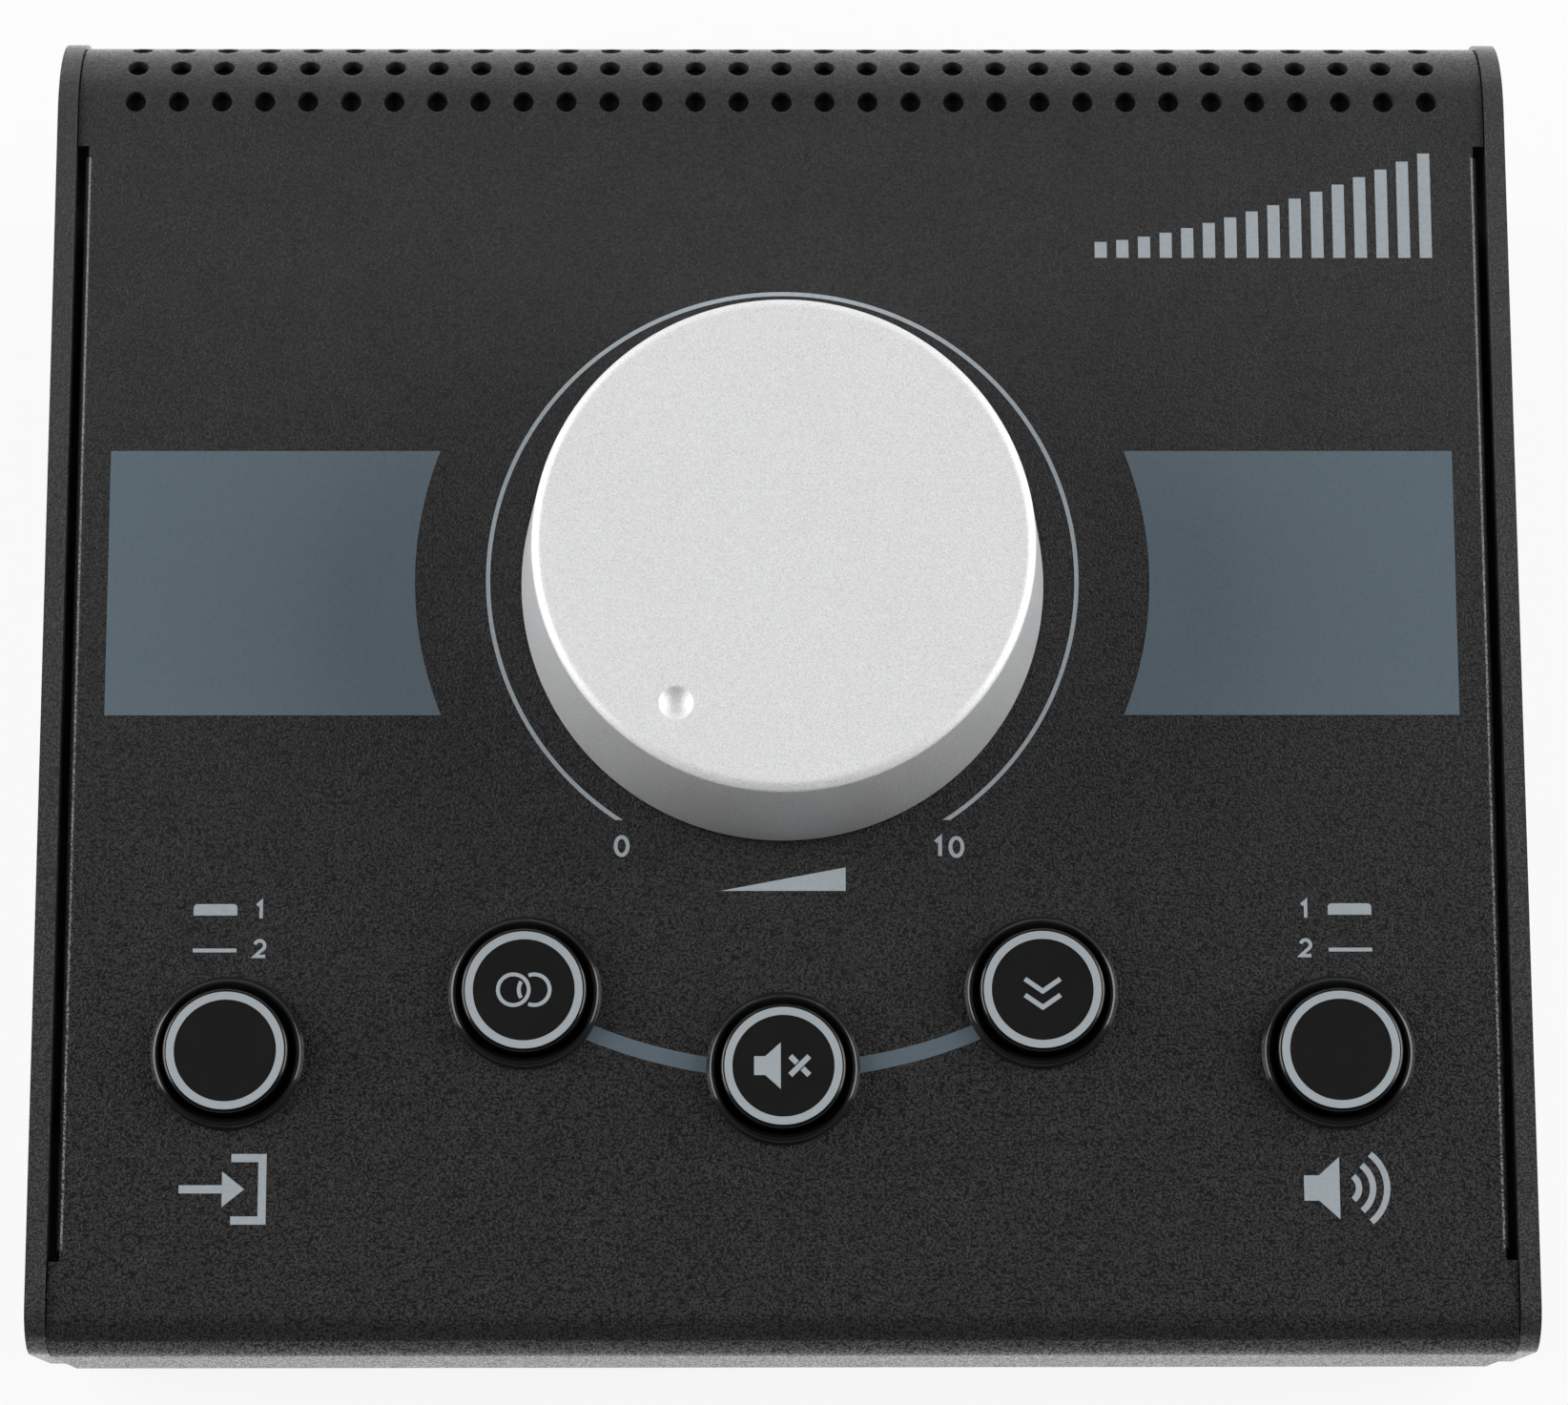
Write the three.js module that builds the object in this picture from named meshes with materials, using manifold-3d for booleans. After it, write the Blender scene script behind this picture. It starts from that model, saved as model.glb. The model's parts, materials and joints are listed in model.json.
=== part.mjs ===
// Studio monitor controller: a sloped desktop case of bent steel sheet with two side plates,
// one large volume knob, five latching push buttons and a rear row of jack sockets.
// Millimetres, +X to the right, +Y to the back, +Z up, origin under the middle of the case.

import * as THREE from 'three';
import { mergeVertices } from 'three/addons/utils/BufferGeometryUtils.js';
import Module from 'manifold-3d';

const wasm = await Module();
wasm.setup();

// Case, driving dimensions
const overallWidth = 195;
const panelSlope = THREE.MathUtils.degToRad(9.1);
const frontReach = 100.98; // knob axis to the front face, along the panel
const frontFaceHeight = 30; // square to the panel
const frontBendRadius = 5;
const rollReach = 65.33; // knob axis to the start of the rear roll, along the panel
const rollRadius = 12.5;
const rearLipHeight = 5;
const sheetThickness = 1.2;
const plateThickness = 2.65;
const platePride = 0.5; // how far the plates stand out of the panel and the rear roll
const plateFrontInset = 0.35; // how far the plates stand back from the front face
const plateLowerRadius = 6;
const plateEdgeBevel = 0.35;

// Clearances
const seatGap = 0.3; // between pieces that rest on or in each other
const cutOverrun = 2;

// Bent side edges of the cover, with a relief notch at each end
const slotWidth = 1; // flange face to the side plate
const edgeBendRadius = 2;
const edgeFlangeDepth = 6;
const edgeFlangeFront = -87.63; // along the panel from the knob axis
const edgeFlangeRear = 59.07;
const notchLength = 1.5;
const notchDepth = 0.65; // into the sheet past the flange face

// Vent holes in the rear roll
const ventRadius = 1.4;
const ventColumnPitch = 5.807;
const ventRowPitch = 5.81; // along the sheet
const firstVentArc = 1.58; // start of the roll to the first row, along the sheet
const ventEdgeMargin = 6.5; // least distance from a hole's axis to the sheet's side
const ventEndMargin = 2.5; // least distance from a hole's axis to the end of the roll
const ventSides = 8;

// Bottom tray
const trayBendRadius = 2.4;
const trayFrontFlange = 10;
const traySideFlange = 14;
const traySideFlangeInset = 4; // from both ends of the base
const rearWallGapToRoll = 3; // wall top below the middle of the roll

// Feet
const footHeight = 3;
const footRadius = 7;
const footTaper = 0.6;
const footRecessRadius = 2.6;
const footRecessDepth = 1;
const footInsetX = 17; // foot axis to the side plate
const footInsetFront = 16;
const footInsetRear = 16;

// Side plate screws
const screwShankRadius = 1.5;
const screwHeadRadius = 3;
const screwHeadDepth = 1.7;
const screwLength = 9;
const screwSocketRadius = 1.1;
const screwSocketDepth = 1.1;
const screwHeight = 9; // above the bottom of the case
const screwInsetFront = 32;
const screwInsetRear = 32;

// Volume knob, heights above the panel
const knobBaseRadius = 34.5;
const knobTopRadius = 32.07;
const knobFloat = 0.8;
const knobTop = 25.6;
const knobEdgeRadius = 1.1;
const knobBaseEdge = 0.4;
const knobWall = 5;
const knobRecessDepth = 9.5;
const dimpleRadius = 2.25;
const dimpleDepth = 0.8;
const dimpleReach = 24.95;
const dimpleAngle = THREE.MathUtils.degToRad(33.2); // from straight down, at the low end
const knobInsertRadius = 7.5;
const knobInsertFlange = 9.6;
const knobInsertFlangeHeight = 1.6;
const knobInsertCrown = 2;

// Volume potentiometer
const potShaftRadius = 3;
const potShaftTop = 19; // above the panel
const potShaftFlat = 1.5; // depth of the flat
const potShaftFoot = 3; // how far the shaft ends above the closed bottom
const potBushingRadius = 4.5;
const potBushingTop = 5.5; // above the panel
const potBodyRadius = 12.5;
const potGangGroove = 0.8;
const potGangGrooveHeight = 1.4;
const potFloor = 1.5;
const potNutFlats = 14;
const potNutHeight = 2.2;
const potWasherRadius = 7.4;
const potWasherThickness = 0.5;

// Push buttons, heights above the panel
const outerButtonInset = 22.75; // button axis to the side plate
const outerButtonDrop = 62.23; // knob axis to the button axis, down the panel
const innerButtonReach = 33.6; // knob axis to the button axis, across the panel
const innerButtonDrop = 54.38;
const middleButtonDrop = 64.28;
const buttonTravel = 2.5;
const capRadius = 8.1;
const capTop = 3.4;
const capEdgeRadius = 0.5;
const capSkirt = 2.6; // below the panel
const capWall = 1.4;
const capBossRadius = 4.2;
const capBossDepth = 4.4; // below the panel
const capSocketDepth = 5;
const bezelRadius = 10;
const bezelLipRadius = 9.65;
const bezelLipHeight = 1.1;
const bezelEdgeHeight = 0.7;
const bezelTroughRadius = 8.75;
const bezelTroughHeight = 0.2;
const bezelSleeveWall = 0.65;
const bezelSleeveDepth = 5;
const capClearance = 0.35;

// Latching switches
const switchBodyWidth = 10;
const switchWall = 1.3;
const switchStemWidth = 3.8;
const switchSliderWidth = 6;
const switchSliderHeight = 4;
const stemChamfer = 0.4;

// Circuit boards
const boardThickness = 1.6;
const controlBoardDepth = 20; // panel face to the board's upper face
const controlBoardMargin = 7.8; // round the outer switches
const controlBoardRearMargin = 4.5; // behind the potentiometer
const boardCornerRadius = 3;
const boardStudRadius = 2.5;
const boardStudHoleRadius = 1.6;
const boardStudInset = 6; // from the board's edges
const jackBoardMargin = 0.6; // beside the outer sockets
const jackBoardHeight = 26;

// Rear jacks
const outerJackInset = 14.85; // outer socket's axis to the side plate
const jacksPerSide = 4;
const jackHeight = 21; // socket axis above the bottom of the case
const jackBodyWidth = 15;
const jackBodyHeight = 13.5;
const jackBodyDepth = 28;
const jackBushingRadius = 6;
const jackBushingReach = 4.2; // out of the rear wall
const jackBoreRadius = 3.3;
const jackFloor = 1.2;
const jackChamfer = 0.6;
const bushingRoot = 1.2; // inside the socket's body
const jackNutFlats = 15.4;
const jackNutHeight = 2.4;
const miniBodyWidth = 8;
const miniBodyHeight = 7;
const miniBushingRadius = 3;
const miniBushingReach = 2.8;
const miniBoreRadius = 1.8;
const miniNutRadius = 4.4;
const miniNutHeight = 1.5;

// Ribbon cable
const ribbonWidth = 26;
const ribbonThickness = 1;
const ribbonDrop = 3;
const ribbonBendRadius = 5;
const ribbonInset = 7; // from the rear edge of the control board

// Facet counts
const knobSides = 56;
const buttonSides = 20;
const roundSides = 16;
const smallSides = 12;
const bendSteps = 4;
const smallBendSteps = 2;
const hexSides = 6;
const quarterSteps = 3;

// Derived sizes of the case
const quarterTurn = Math.PI / 2;
const halfWidth = overallWidth / 2;
const plateInnerX = halfWidth - plateThickness;
const sheetEdgeX = plateInnerX - seatGap;
const flangeFaceX = plateInnerX - slotWidth;
const outerButtonReach = plateInnerX - outerButtonInset;
const jackPitch = (plateInnerX - outerJackInset) / jacksPerSide;
const rollTurn = quarterTurn + panelSlope;
const ventColumns = 1 + 2 * Math.floor((sheetEdgeX - ventEdgeMargin) / ventColumnPitch);
const ventRows = 1 + Math.floor((rollTurn * rollRadius - firstVentArc - ventEndMargin) / ventRowPitch);
const caseBottom = footHeight;
const knobHeight = caseBottom + frontReach * Math.sin(panelSlope) + frontFaceHeight * Math.cos(panelSlope);

// Distances from the knob axis to the extreme points of the case, level with the ground
const frontExtent = (frontReach - frontBendRadius) * Math.cos(panelSlope)
  - frontBendRadius * Math.sin(panelSlope) + frontBendRadius;
const rollCentreExtent = rollReach * Math.cos(panelSlope) + rollRadius * Math.sin(panelSlope);
const coverRearExtent = rollCentreExtent + rollRadius;
const wallRearExtent = coverRearExtent - sheetThickness - seatGap;
const rearExtent = Math.max(coverRearExtent + platePride, wallRearExtent + jackBushingReach);
const knobY = (frontExtent - rearExtent) / 2;
const wallRearY = knobY + wallRearExtent;
const wallInnerY = wallRearY - sheetThickness;
const rollCentreZ = knobHeight + rollReach * Math.sin(panelSlope) - rollRadius * Math.cos(panelSlope);
const frontLowerY = knobY - frontReach * Math.cos(panelSlope) + frontFaceHeight * Math.sin(panelSlope);

// Button axes in the panel's frame
const buttonPlaces = {
  source: [-outerButtonReach, -outerButtonDrop],
  mono: [-innerButtonReach, -innerButtonDrop],
  mute: [0, -middleButtonDrop],
  dim: [innerButtonReach, -innerButtonDrop],
  monitor: [outerButtonReach, -outerButtonDrop],
};

// Outline of the control board in the panel's frame, round the switches and the potentiometer
const controlBoardHalfWidth = outerButtonReach + switchBodyWidth / 2 + controlBoardMargin;
const controlBoardFront = -middleButtonDrop - switchBodyWidth / 2 - controlBoardMargin;
const controlBoardRear = potBodyRadius + controlBoardRearMargin;
const frontStudReach = (outerButtonReach + innerButtonReach) / 2;

// The panel's own frame: x across, y up the slope, z out of the panel, from the knob axis
const panelMatrix = new THREE.Matrix4()
  .makeTranslation(0, knobY, knobHeight)
  .multiply(new THREE.Matrix4().makeRotationX(panelSlope));

// Finishes
const finishes = {
  case: { color: 0x2b2b2c, roughness: 0.62, metalness: 0.25 },
  aluminium: { color: 0xd9dadb, roughness: 0.38, metalness: 0.9 },
  steel: { color: 0x9a9c9f, roughness: 0.35, metalness: 0.9 },
  darkSteel: { color: 0x202123, roughness: 0.4, metalness: 0.7 },
  glossBlack: { color: 0x0d0e0f, roughness: 0.18, metalness: 0 },
  mattBlack: { color: 0x1f1f20, roughness: 0.6, metalness: 0 },
  rubber: { color: 0x18181a, roughness: 0.9, metalness: 0 },
  board: { color: 0x1d5a38, roughness: 0.5, metalness: 0 },
  cable: { color: 0x8d9096, roughness: 0.6, metalness: 0 },
  nylon: { color: 0xe6e4dc, roughness: 0.5, metalness: 0 },
};

// Solids

// The geometry with shared corners, as a closed mesh needs them
function welded(geometry) {
  const bare = geometry.clone();
  bare.deleteAttribute('normal');
  bare.deleteAttribute('uv');
  return mergeVertices(bare);
}

function toSolid(geometry) {
  const merged = welded(geometry);
  return new wasm.Manifold(new wasm.Mesh({
    numProp: 3,
    vertProperties: new Float32Array(merged.attributes.position.array),
    triVerts: new Uint32Array(merged.index.array),
  }));
}

function toGeometry(solid) {
  const mesh = solid.getMesh();
  const geometry = new THREE.BufferGeometry();
  geometry.setAttribute('position', new THREE.BufferAttribute(mesh.vertProperties, mesh.numProp));
  geometry.setIndex(new THREE.BufferAttribute(mesh.triVerts, 1));
  return geometry;
}

function joined(...geometries) {
  return toGeometry(geometries.map(toSolid).reduce((whole, solid) => whole.add(solid)));
}

function cut(geometry, ...cutters) {
  return toGeometry(cutters.map(toSolid).reduce((rest, cutter) => rest.subtract(cutter), toSolid(geometry)));
}

function common(first, second) {
  return toGeometry(toSolid(first).intersect(toSolid(second)));
}

// The geometry with its faces turned to point out of the solid
function outwards(geometry) {
  const whole = welded(geometry);
  const position = whole.attributes.position;
  const index = whole.index;
  const corners = [new THREE.Vector3(), new THREE.Vector3(), new THREE.Vector3()];
  let volume = 0;
  for (let face = 0; face < index.count; face += corners.length) {
    corners.forEach((corner, place) => corner.fromBufferAttribute(position, index.getX(face + place)));
    volume += corners[0].dot(corners[1].clone().cross(corners[2]));
  }
  if (volume < 0) {
    for (let face = 0; face < index.count; face += corners.length) {
      const first = index.getX(face);
      index.setX(face, index.getX(face + 1));
      index.setX(face + 1, first);
    }
  }
  return whole;
}

// A turned piece about +Z from [radius, height] points
function turned(points, sides) {
  const profile = points.map(([radius, height]) => new THREE.Vector2(radius, height));
  return outwards(new THREE.LatheGeometry(profile, sides).rotateX(quarterTurn));
}

// A turned ring, whose profile closes on itself
function turnedRing(points, sides) {
  return turned([...points, points[0]], sides);
}

function rod(radius, low, high, sides) {
  const rodGeometry = new THREE.CylinderGeometry(radius, radius, high - low, sides);
  return rodGeometry.rotateX(quarterTurn).translate(0, 0, (low + high) / 2);
}

function block([lowX, lowY, lowZ], [highX, highY, highZ]) {
  const box = new THREE.BoxGeometry(highX - lowX, highY - lowY, highZ - lowZ);
  return box.translate((lowX + highX) / 2, (lowY + highY) / 2, (lowZ + highZ) / 2);
}

function shapeOf(points) {
  return new THREE.Shape(points.map(([x, y]) => new THREE.Vector2(x, y)));
}

// A section in y and z, extruded along x between two places
function acrossWidth(shape, left, right, options = {}) {
  const geometry = new THREE.ExtrudeGeometry(shape, { depth: right - left, bevelEnabled: false, ...options });
  const turn = new THREE.Matrix4().makeBasis(
    new THREE.Vector3(0, 1, 0),
    new THREE.Vector3(0, 0, 1),
    new THREE.Vector3(1, 0, 0),
  );
  return geometry.applyMatrix4(turn).translate(left, 0, 0);
}

// A section in x and z, extruded along y between two places
function alongDepth(shape, front, rear) {
  const geometry = new THREE.ExtrudeGeometry(shape, { depth: rear - front, bevelEnabled: false });
  return geometry.rotateX(quarterTurn).translate(0, rear, 0);
}

function roundedRectangle(left, low, right, high, radius) {
  const shape = new THREE.Shape();
  shape.moveTo(left + radius, low);
  shape.lineTo(right - radius, low);
  shape.absarc(right - radius, low + radius, radius, -quarterTurn, 0, false);
  shape.lineTo(right, high - radius);
  shape.absarc(right - radius, high - radius, radius, 0, quarterTurn, false);
  shape.lineTo(left + radius, high);
  shape.absarc(left + radius, high - radius, radius, quarterTurn, Math.PI, false);
  shape.lineTo(left, low + radius);
  shape.absarc(left + radius, low + radius, radius, Math.PI, Math.PI + quarterTurn, false);
  return shape;
}

function evenTurns(total, steps) {
  return Array.from({ length: steps }, (_, step) => total * (step + 1) / steps);
}

// The face line of a bent sheet: a walk of straight runs and bends.
// side is 1 where the sheet lies left of the walk and -1 where it lies right; offset moves into the sheet.
function sheetLine(walk, offset) {
  const points = [];
  let [x, y] = walk.start;
  let heading = walk.heading;
  const mark = () => points.push([
    x - walk.side * offset * Math.sin(heading),
    y + walk.side * offset * Math.cos(heading),
  ]);
  mark();
  for (const step of walk.steps) {
    if (step.run !== undefined) {
      x += step.run * Math.cos(heading);
      y += step.run * Math.sin(heading);
      mark();
      continue;
    }
    const startHeading = heading;
    const centreX = x - walk.side * step.radius * Math.sin(heading);
    const centreY = y + walk.side * step.radius * Math.cos(heading);
    for (const turn of step.turns) {
      heading = startHeading + walk.side * turn;
      x = centreX + walk.side * step.radius * Math.sin(heading);
      y = centreY - walk.side * step.radius * Math.cos(heading);
      mark();
    }
  }
  return points;
}

// The closed section of a bent sheet
function sheetSection(walk, thickness) {
  return shapeOf([...sheetLine(walk, 0), ...sheetLine(walk, thickness).reverse()]);
}

// Case sheet metal

// Facet borders round the roll lie midway between the vent rows and the plain strips
function rollTurns() {
  const rowTurn = ventRowPitch / rollRadius;
  const firstTurn = firstVentArc / rollRadius;
  const borders = Array.from({ length: ventRows }, (_, row) => firstTurn + row * rowTurn)
    .flatMap((middle) => [middle - rowTurn / 4, middle + rowTurn / 4]);
  return [...borders.filter((turn) => turn > rowTurn / 8 && turn < rollTurn), rollTurn];
}

// The cover's outer face, from the lower front edge over the panel to the rear lip, with its front
// moved back along the panel by an inset
function coverWalk(inset = 0) {
  return {
    start: [frontLowerY + inset * Math.cos(panelSlope), caseBottom + inset * Math.sin(panelSlope)],
    heading: quarterTurn + panelSlope,
    side: -1,
    steps: [
      { run: frontFaceHeight - frontBendRadius },
      { radius: frontBendRadius, turns: evenTurns(quarterTurn, bendSteps) },
      { run: frontReach - frontBendRadius + rollReach - inset },
      { radius: rollRadius, turns: rollTurns() },
      { run: rearLipHeight },
    ],
  };
}

// One bent side edge of the cover in the panel's frame, on the +x side
function coverEdge() {
  const walk = {
    start: [flangeFaceX - edgeBendRadius, 0],
    heading: 0,
    side: -1,
    steps: [
      { radius: edgeBendRadius, turns: evenTurns(quarterTurn, quarterSteps) },
      { run: edgeFlangeDepth - edgeBendRadius },
    ],
  };
  return alongDepth(sheetSection(walk, sheetThickness), edgeFlangeFront, edgeFlangeRear);
}

// What is cut from the flat sheet at one side edge, on the +x side
function edgeCutters() {
  const low = -sheetThickness - cutOverrun;
  const bendLine = flangeFaceX - edgeBendRadius;
  const notchLine = flangeFaceX - notchDepth;
  const outside = sheetEdgeX + cutOverrun;
  const notchFront = edgeFlangeFront - notchLength;
  const notchRear = edgeFlangeRear + notchLength;
  return [
    block([bendLine, edgeFlangeFront, low], [outside, edgeFlangeRear, cutOverrun]),
    block([notchLine, notchFront, low], [outside, notchRear, cutOverrun]),
  ];
}

// The vent holes, each a prism square to its strip of the roll
function ventCutters() {
  const holes = [];
  const inside = rollRadius - sheetThickness - cutOverrun;
  for (let row = 0; row < ventRows; row += 1) {
    const turn = (firstVentArc + row * ventRowPitch) / rollRadius;
    for (let column = 0; column < ventColumns; column += 1) {
      const across = (column - (ventColumns - 1) / 2) * ventColumnPitch;
      const hole = rod(ventRadius, inside, rollRadius + cutOverrun, ventSides);
      hole.rotateZ(Math.PI / ventSides).rotateX(-turn).translate(across, rollReach, -rollRadius);
      holes.push(toSolid(hole));
    }
  }
  return toGeometry(wasm.Manifold.union(holes));
}

function mirrored(geometry) {
  return outwards(geometry.clone().scale(-1, 1, 1));
}

// Studs on the panel's underside that the control board stands on
function studPlaces() {
  const rearReach = controlBoardHalfWidth - boardStudInset;
  const places = [];
  for (const side of [-1, 1]) {
    places.push([side * frontStudReach, controlBoardFront + boardStudInset]);
    places.push([side * rearReach, controlBoardRear - boardStudInset]);
  }
  return places;
}

function topCover() {
  const sheet = acrossWidth(sheetSection(coverWalk(), sheetThickness), -sheetEdgeX, sheetEdgeX);
  const onPanel = sheet.applyMatrix4(panelMatrix.clone().invert());
  const edge = coverEdge();
  const cutters = edgeCutters();
  const trimmed = cut(onPanel, ...cutters, ...cutters.map(mirrored), ventCutters());
  const studs = studPlaces().map(([x, y]) => {
    const stud = rod(boardStudRadius, seatGap - controlBoardDepth, -sheetThickness / 2, roundSides / 2);
    return stud.translate(x, y, 0);
  });
  const holes = Object.values(buttonPlaces).map(([x, y]) => {
    const hole = rod(bezelSleeveRadius() + seatGap, -sheetThickness - cutOverrun, cutOverrun, buttonSides);
    return hole.translate(x, y, 0);
  });
  const shaftHole = rod(potBushingRadius + seatGap, -sheetThickness - cutOverrun, cutOverrun, smallSides);
  return cut(joined(trimmed, edge, mirrored(edge), ...studs), ...holes, shaftHole);
}

function sidePlate(side) {
  const walk = coverWalk(platePride + plateFrontInset);
  walk.steps[walk.steps.length - 1] = { run: rollCentreZ - caseBottom };
  const face = sheetLine(walk, -platePride);
  const front = face[0];
  const rear = face[face.length - 1];
  front[0] += (front[1] - caseBottom) * Math.tan(panelSlope);
  front[1] = caseBottom;
  rear[1] = caseBottom;
  const rearSoftened = softenedCorner(face, face.length - 1, plateLowerRadius);
  const outline = softenedCorner(rearSoftened, 0, plateLowerRadius);
  const bevel = {
    bevelEnabled: true,
    bevelThickness: plateEdgeBevel,
    bevelSize: plateEdgeBevel,
    bevelOffset: -plateEdgeBevel,
    bevelSegments: 1,
  };
  const inner = plateInnerX + plateEdgeBevel;
  const plate = acrossWidth(shapeOf(outline), inner, halfWidth - plateEdgeBevel, bevel);
  const placed = cut(plate, ...screwPlaces().map((place) => screwHole().translate(0, ...place)));
  return side > 0 ? placed : mirrored(placed);
}

// The outline with one corner, given by its index, turned into an arc
function softenedCorner(points, index, radius) {
  const corner = new THREE.Vector2(...points[index]);
  const before = new THREE.Vector2(...points[(index + points.length - 1) % points.length]);
  const after = new THREE.Vector2(...points[(index + 1) % points.length]);
  const toBefore = before.sub(corner).normalize();
  const toAfter = after.sub(corner).normalize();
  const halfAngle = Math.acos(toBefore.dot(toAfter)) / 2;
  const bisector = toBefore.clone().add(toAfter).normalize();
  const centre = corner.clone().addScaledVector(bisector, radius / Math.sin(halfAngle));
  const first = corner.clone().addScaledVector(toBefore, radius / Math.tan(halfAngle));
  const last = corner.clone().addScaledVector(toAfter, radius / Math.tan(halfAngle));
  const startAngle = Math.atan2(first.y - centre.y, first.x - centre.x);
  const endAngle = Math.atan2(last.y - centre.y, last.x - centre.x);
  const sweep = Math.atan2(Math.sin(endAngle - startAngle), Math.cos(endAngle - startAngle));
  const arc = Array.from({ length: quarterSteps + 1 }, (_, step) => {
    const angle = startAngle + sweep * step / quarterSteps;
    return [centre.x + radius * Math.cos(angle), centre.y + radius * Math.sin(angle)];
  });
  return [...points.slice(0, index), ...arc, ...points.slice(index + 1)];
}

// The tray's outer face, from the top of the front flange under the base to the top of the rear wall
function trayWalk() {
  const frontTurn = quarterTurn - panelSlope;
  const cornerY = frontLowerY + (sheetThickness + seatGap) / Math.cos(panelSlope);
  const frontTangent = trayBendRadius * Math.tan(frontTurn / 2);
  return {
    start: [
      cornerY - trayFrontFlange * Math.sin(panelSlope),
      caseBottom + trayFrontFlange * Math.cos(panelSlope),
    ],
    heading: panelSlope - quarterTurn,
    side: 1,
    steps: [
      { run: trayFrontFlange - frontTangent },
      { radius: trayBendRadius, turns: evenTurns(frontTurn, smallBendSteps) },
      { run: wallRearY - trayBendRadius - cornerY - frontTangent },
      { radius: trayBendRadius, turns: evenTurns(quarterTurn, smallBendSteps) },
      { run: rollCentreZ - rearWallGapToRoll - caseBottom - trayBendRadius },
    ],
  };
}

// One upturned side flange of the tray, on the +x side
function trayFlange() {
  const walk = {
    start: [sheetEdgeX - trayBendRadius - sheetThickness, caseBottom],
    heading: 0,
    side: 1,
    steps: [
      { run: sheetThickness },
      { radius: trayBendRadius, turns: evenTurns(quarterTurn, smallBendSteps) },
      { run: traySideFlange - trayBendRadius },
    ],
  };
  const front = frontLowerY + traySideFlangeInset;
  const rear = wallInnerY - traySideFlangeInset;
  return alongDepth(sheetSection(walk, sheetThickness), front, rear);
}

function bottomTray() {
  const spanX = sheetEdgeX - trayBendRadius;
  const base = acrossWidth(sheetSection(trayWalk(), sheetThickness), -spanX, spanX);
  const wall = block(
    [-sheetEdgeX, wallInnerY, caseBottom + trayBendRadius],
    [sheetEdgeX, wallRearY, rollCentreZ - rearWallGapToRoll],
  );
  const flange = trayFlange();
  const jackHoles = jackPlaces().map((x) => wallHole(x, jackBushingRadius));
  const outside = sheetEdgeX + cutOverrun;
  const flangeHoles = screwPlaces().map((place) => {
    const hole = rod(screwShankRadius + seatGap, -outside, outside, smallSides);
    return hole.rotateY(quarterTurn).translate(0, ...place);
  });
  const whole = joined(base, wall, flange, mirrored(flange));
  return cut(whole, ...jackHoles, wallHole(0, miniBushingRadius), ...flangeHoles);
}

function wallHole(x, radius) {
  const hole = rod(radius + seatGap, -cutOverrun, sheetThickness + cutOverrun, smallSides);
  return hole.rotateX(-quarterTurn).translate(x, wallInnerY, caseBottom + jackHeight);
}

function foot() {
  const low = footRadius - footTaper;
  const top = footHeight - seatGap;
  return turned([
    [0, footRecessDepth],
    [footRecessRadius, footRecessDepth],
    [footRecessRadius, 0],
    [low, 0],
    [footRadius, top],
    [0, top],
  ], roundSides);
}

function footPlaces() {
  const x = plateInnerX - footInsetX;
  const front = frontLowerY + footInsetFront;
  const rear = wallRearY - footInsetRear;
  return {
    foot_front_left: [-x, front],
    foot_front_right: [x, front],
    foot_rear_left: [-x, rear],
    foot_rear_right: [x, rear],
  };
}

// Side plate screws

function screwPlaces() {
  const z = caseBottom + screwHeight;
  return [[frontLowerY + screwInsetFront, z], [wallRearY - screwInsetRear, z]];
}

// Countersunk head and shank with the head's face at z = 0 and the shank below
function screwProfile(gap) {
  return [
    [0, 0],
    [screwHeadRadius + gap, 0],
    [screwShankRadius + gap, -screwHeadDepth],
    [screwShankRadius + gap, -screwLength - gap],
    [0, -screwLength - gap],
  ];
}

function sideScrew() {
  const socket = rod(screwSocketRadius, -screwSocketDepth, cutOverrun, hexSides);
  return cut(turned(screwProfile(0), smallSides), socket);
}

function screwHole() {
  const profile = screwProfile(seatGap);
  const open = [[0, cutOverrun], [screwHeadRadius + seatGap, cutOverrun], ...profile.slice(1)];
  return turned(open, smallSides).rotateY(quarterTurn).translate(halfWidth, 0, 0);
}

// Volume knob and potentiometer

// Profile points of a rounded upper edge, from the side to the top
function roundedEdge(sideRadius, top, edgeRadius, steps) {
  return Array.from({ length: steps + 1 }, (_, step) => {
    const angle = quarterTurn * step / steps;
    return [
      sideRadius - edgeRadius * (1 - Math.cos(angle)),
      top - edgeRadius * (1 - Math.sin(angle)),
    ];
  });
}

function volumeKnob() {
  const recessTop = knobFloat + knobRecessDepth;
  const recessRadius = knobBaseRadius - knobWall;
  const pocketRadius = knobInsertRadius + seatGap;
  const pocketTop = potShaftTop + knobInsertCrown + seatGap;
  const body = turned([
    [0, pocketTop],
    [pocketRadius, pocketTop],
    [pocketRadius, recessTop],
    [recessRadius, recessTop],
    [recessRadius, knobFloat],
    [knobBaseRadius - knobBaseEdge, knobFloat],
    [knobBaseRadius, knobFloat + knobBaseEdge],
    ...roundedEdge(knobTopRadius, knobTop, knobEdgeRadius, quarterSteps),
    [0, knobTop],
  ], knobSides);
  const ballRadius = (dimpleRadius ** 2 + dimpleDepth ** 2) / (2 * dimpleDepth);
  const ball = new THREE.SphereGeometry(ballRadius, smallSides, smallSides).rotateX(quarterTurn);
  const x = -dimpleReach * Math.sin(dimpleAngle);
  const y = -dimpleReach * Math.cos(dimpleAngle);
  return cut(body, ball.translate(x, y, knobTop + ballRadius - dimpleDepth));
}

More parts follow.
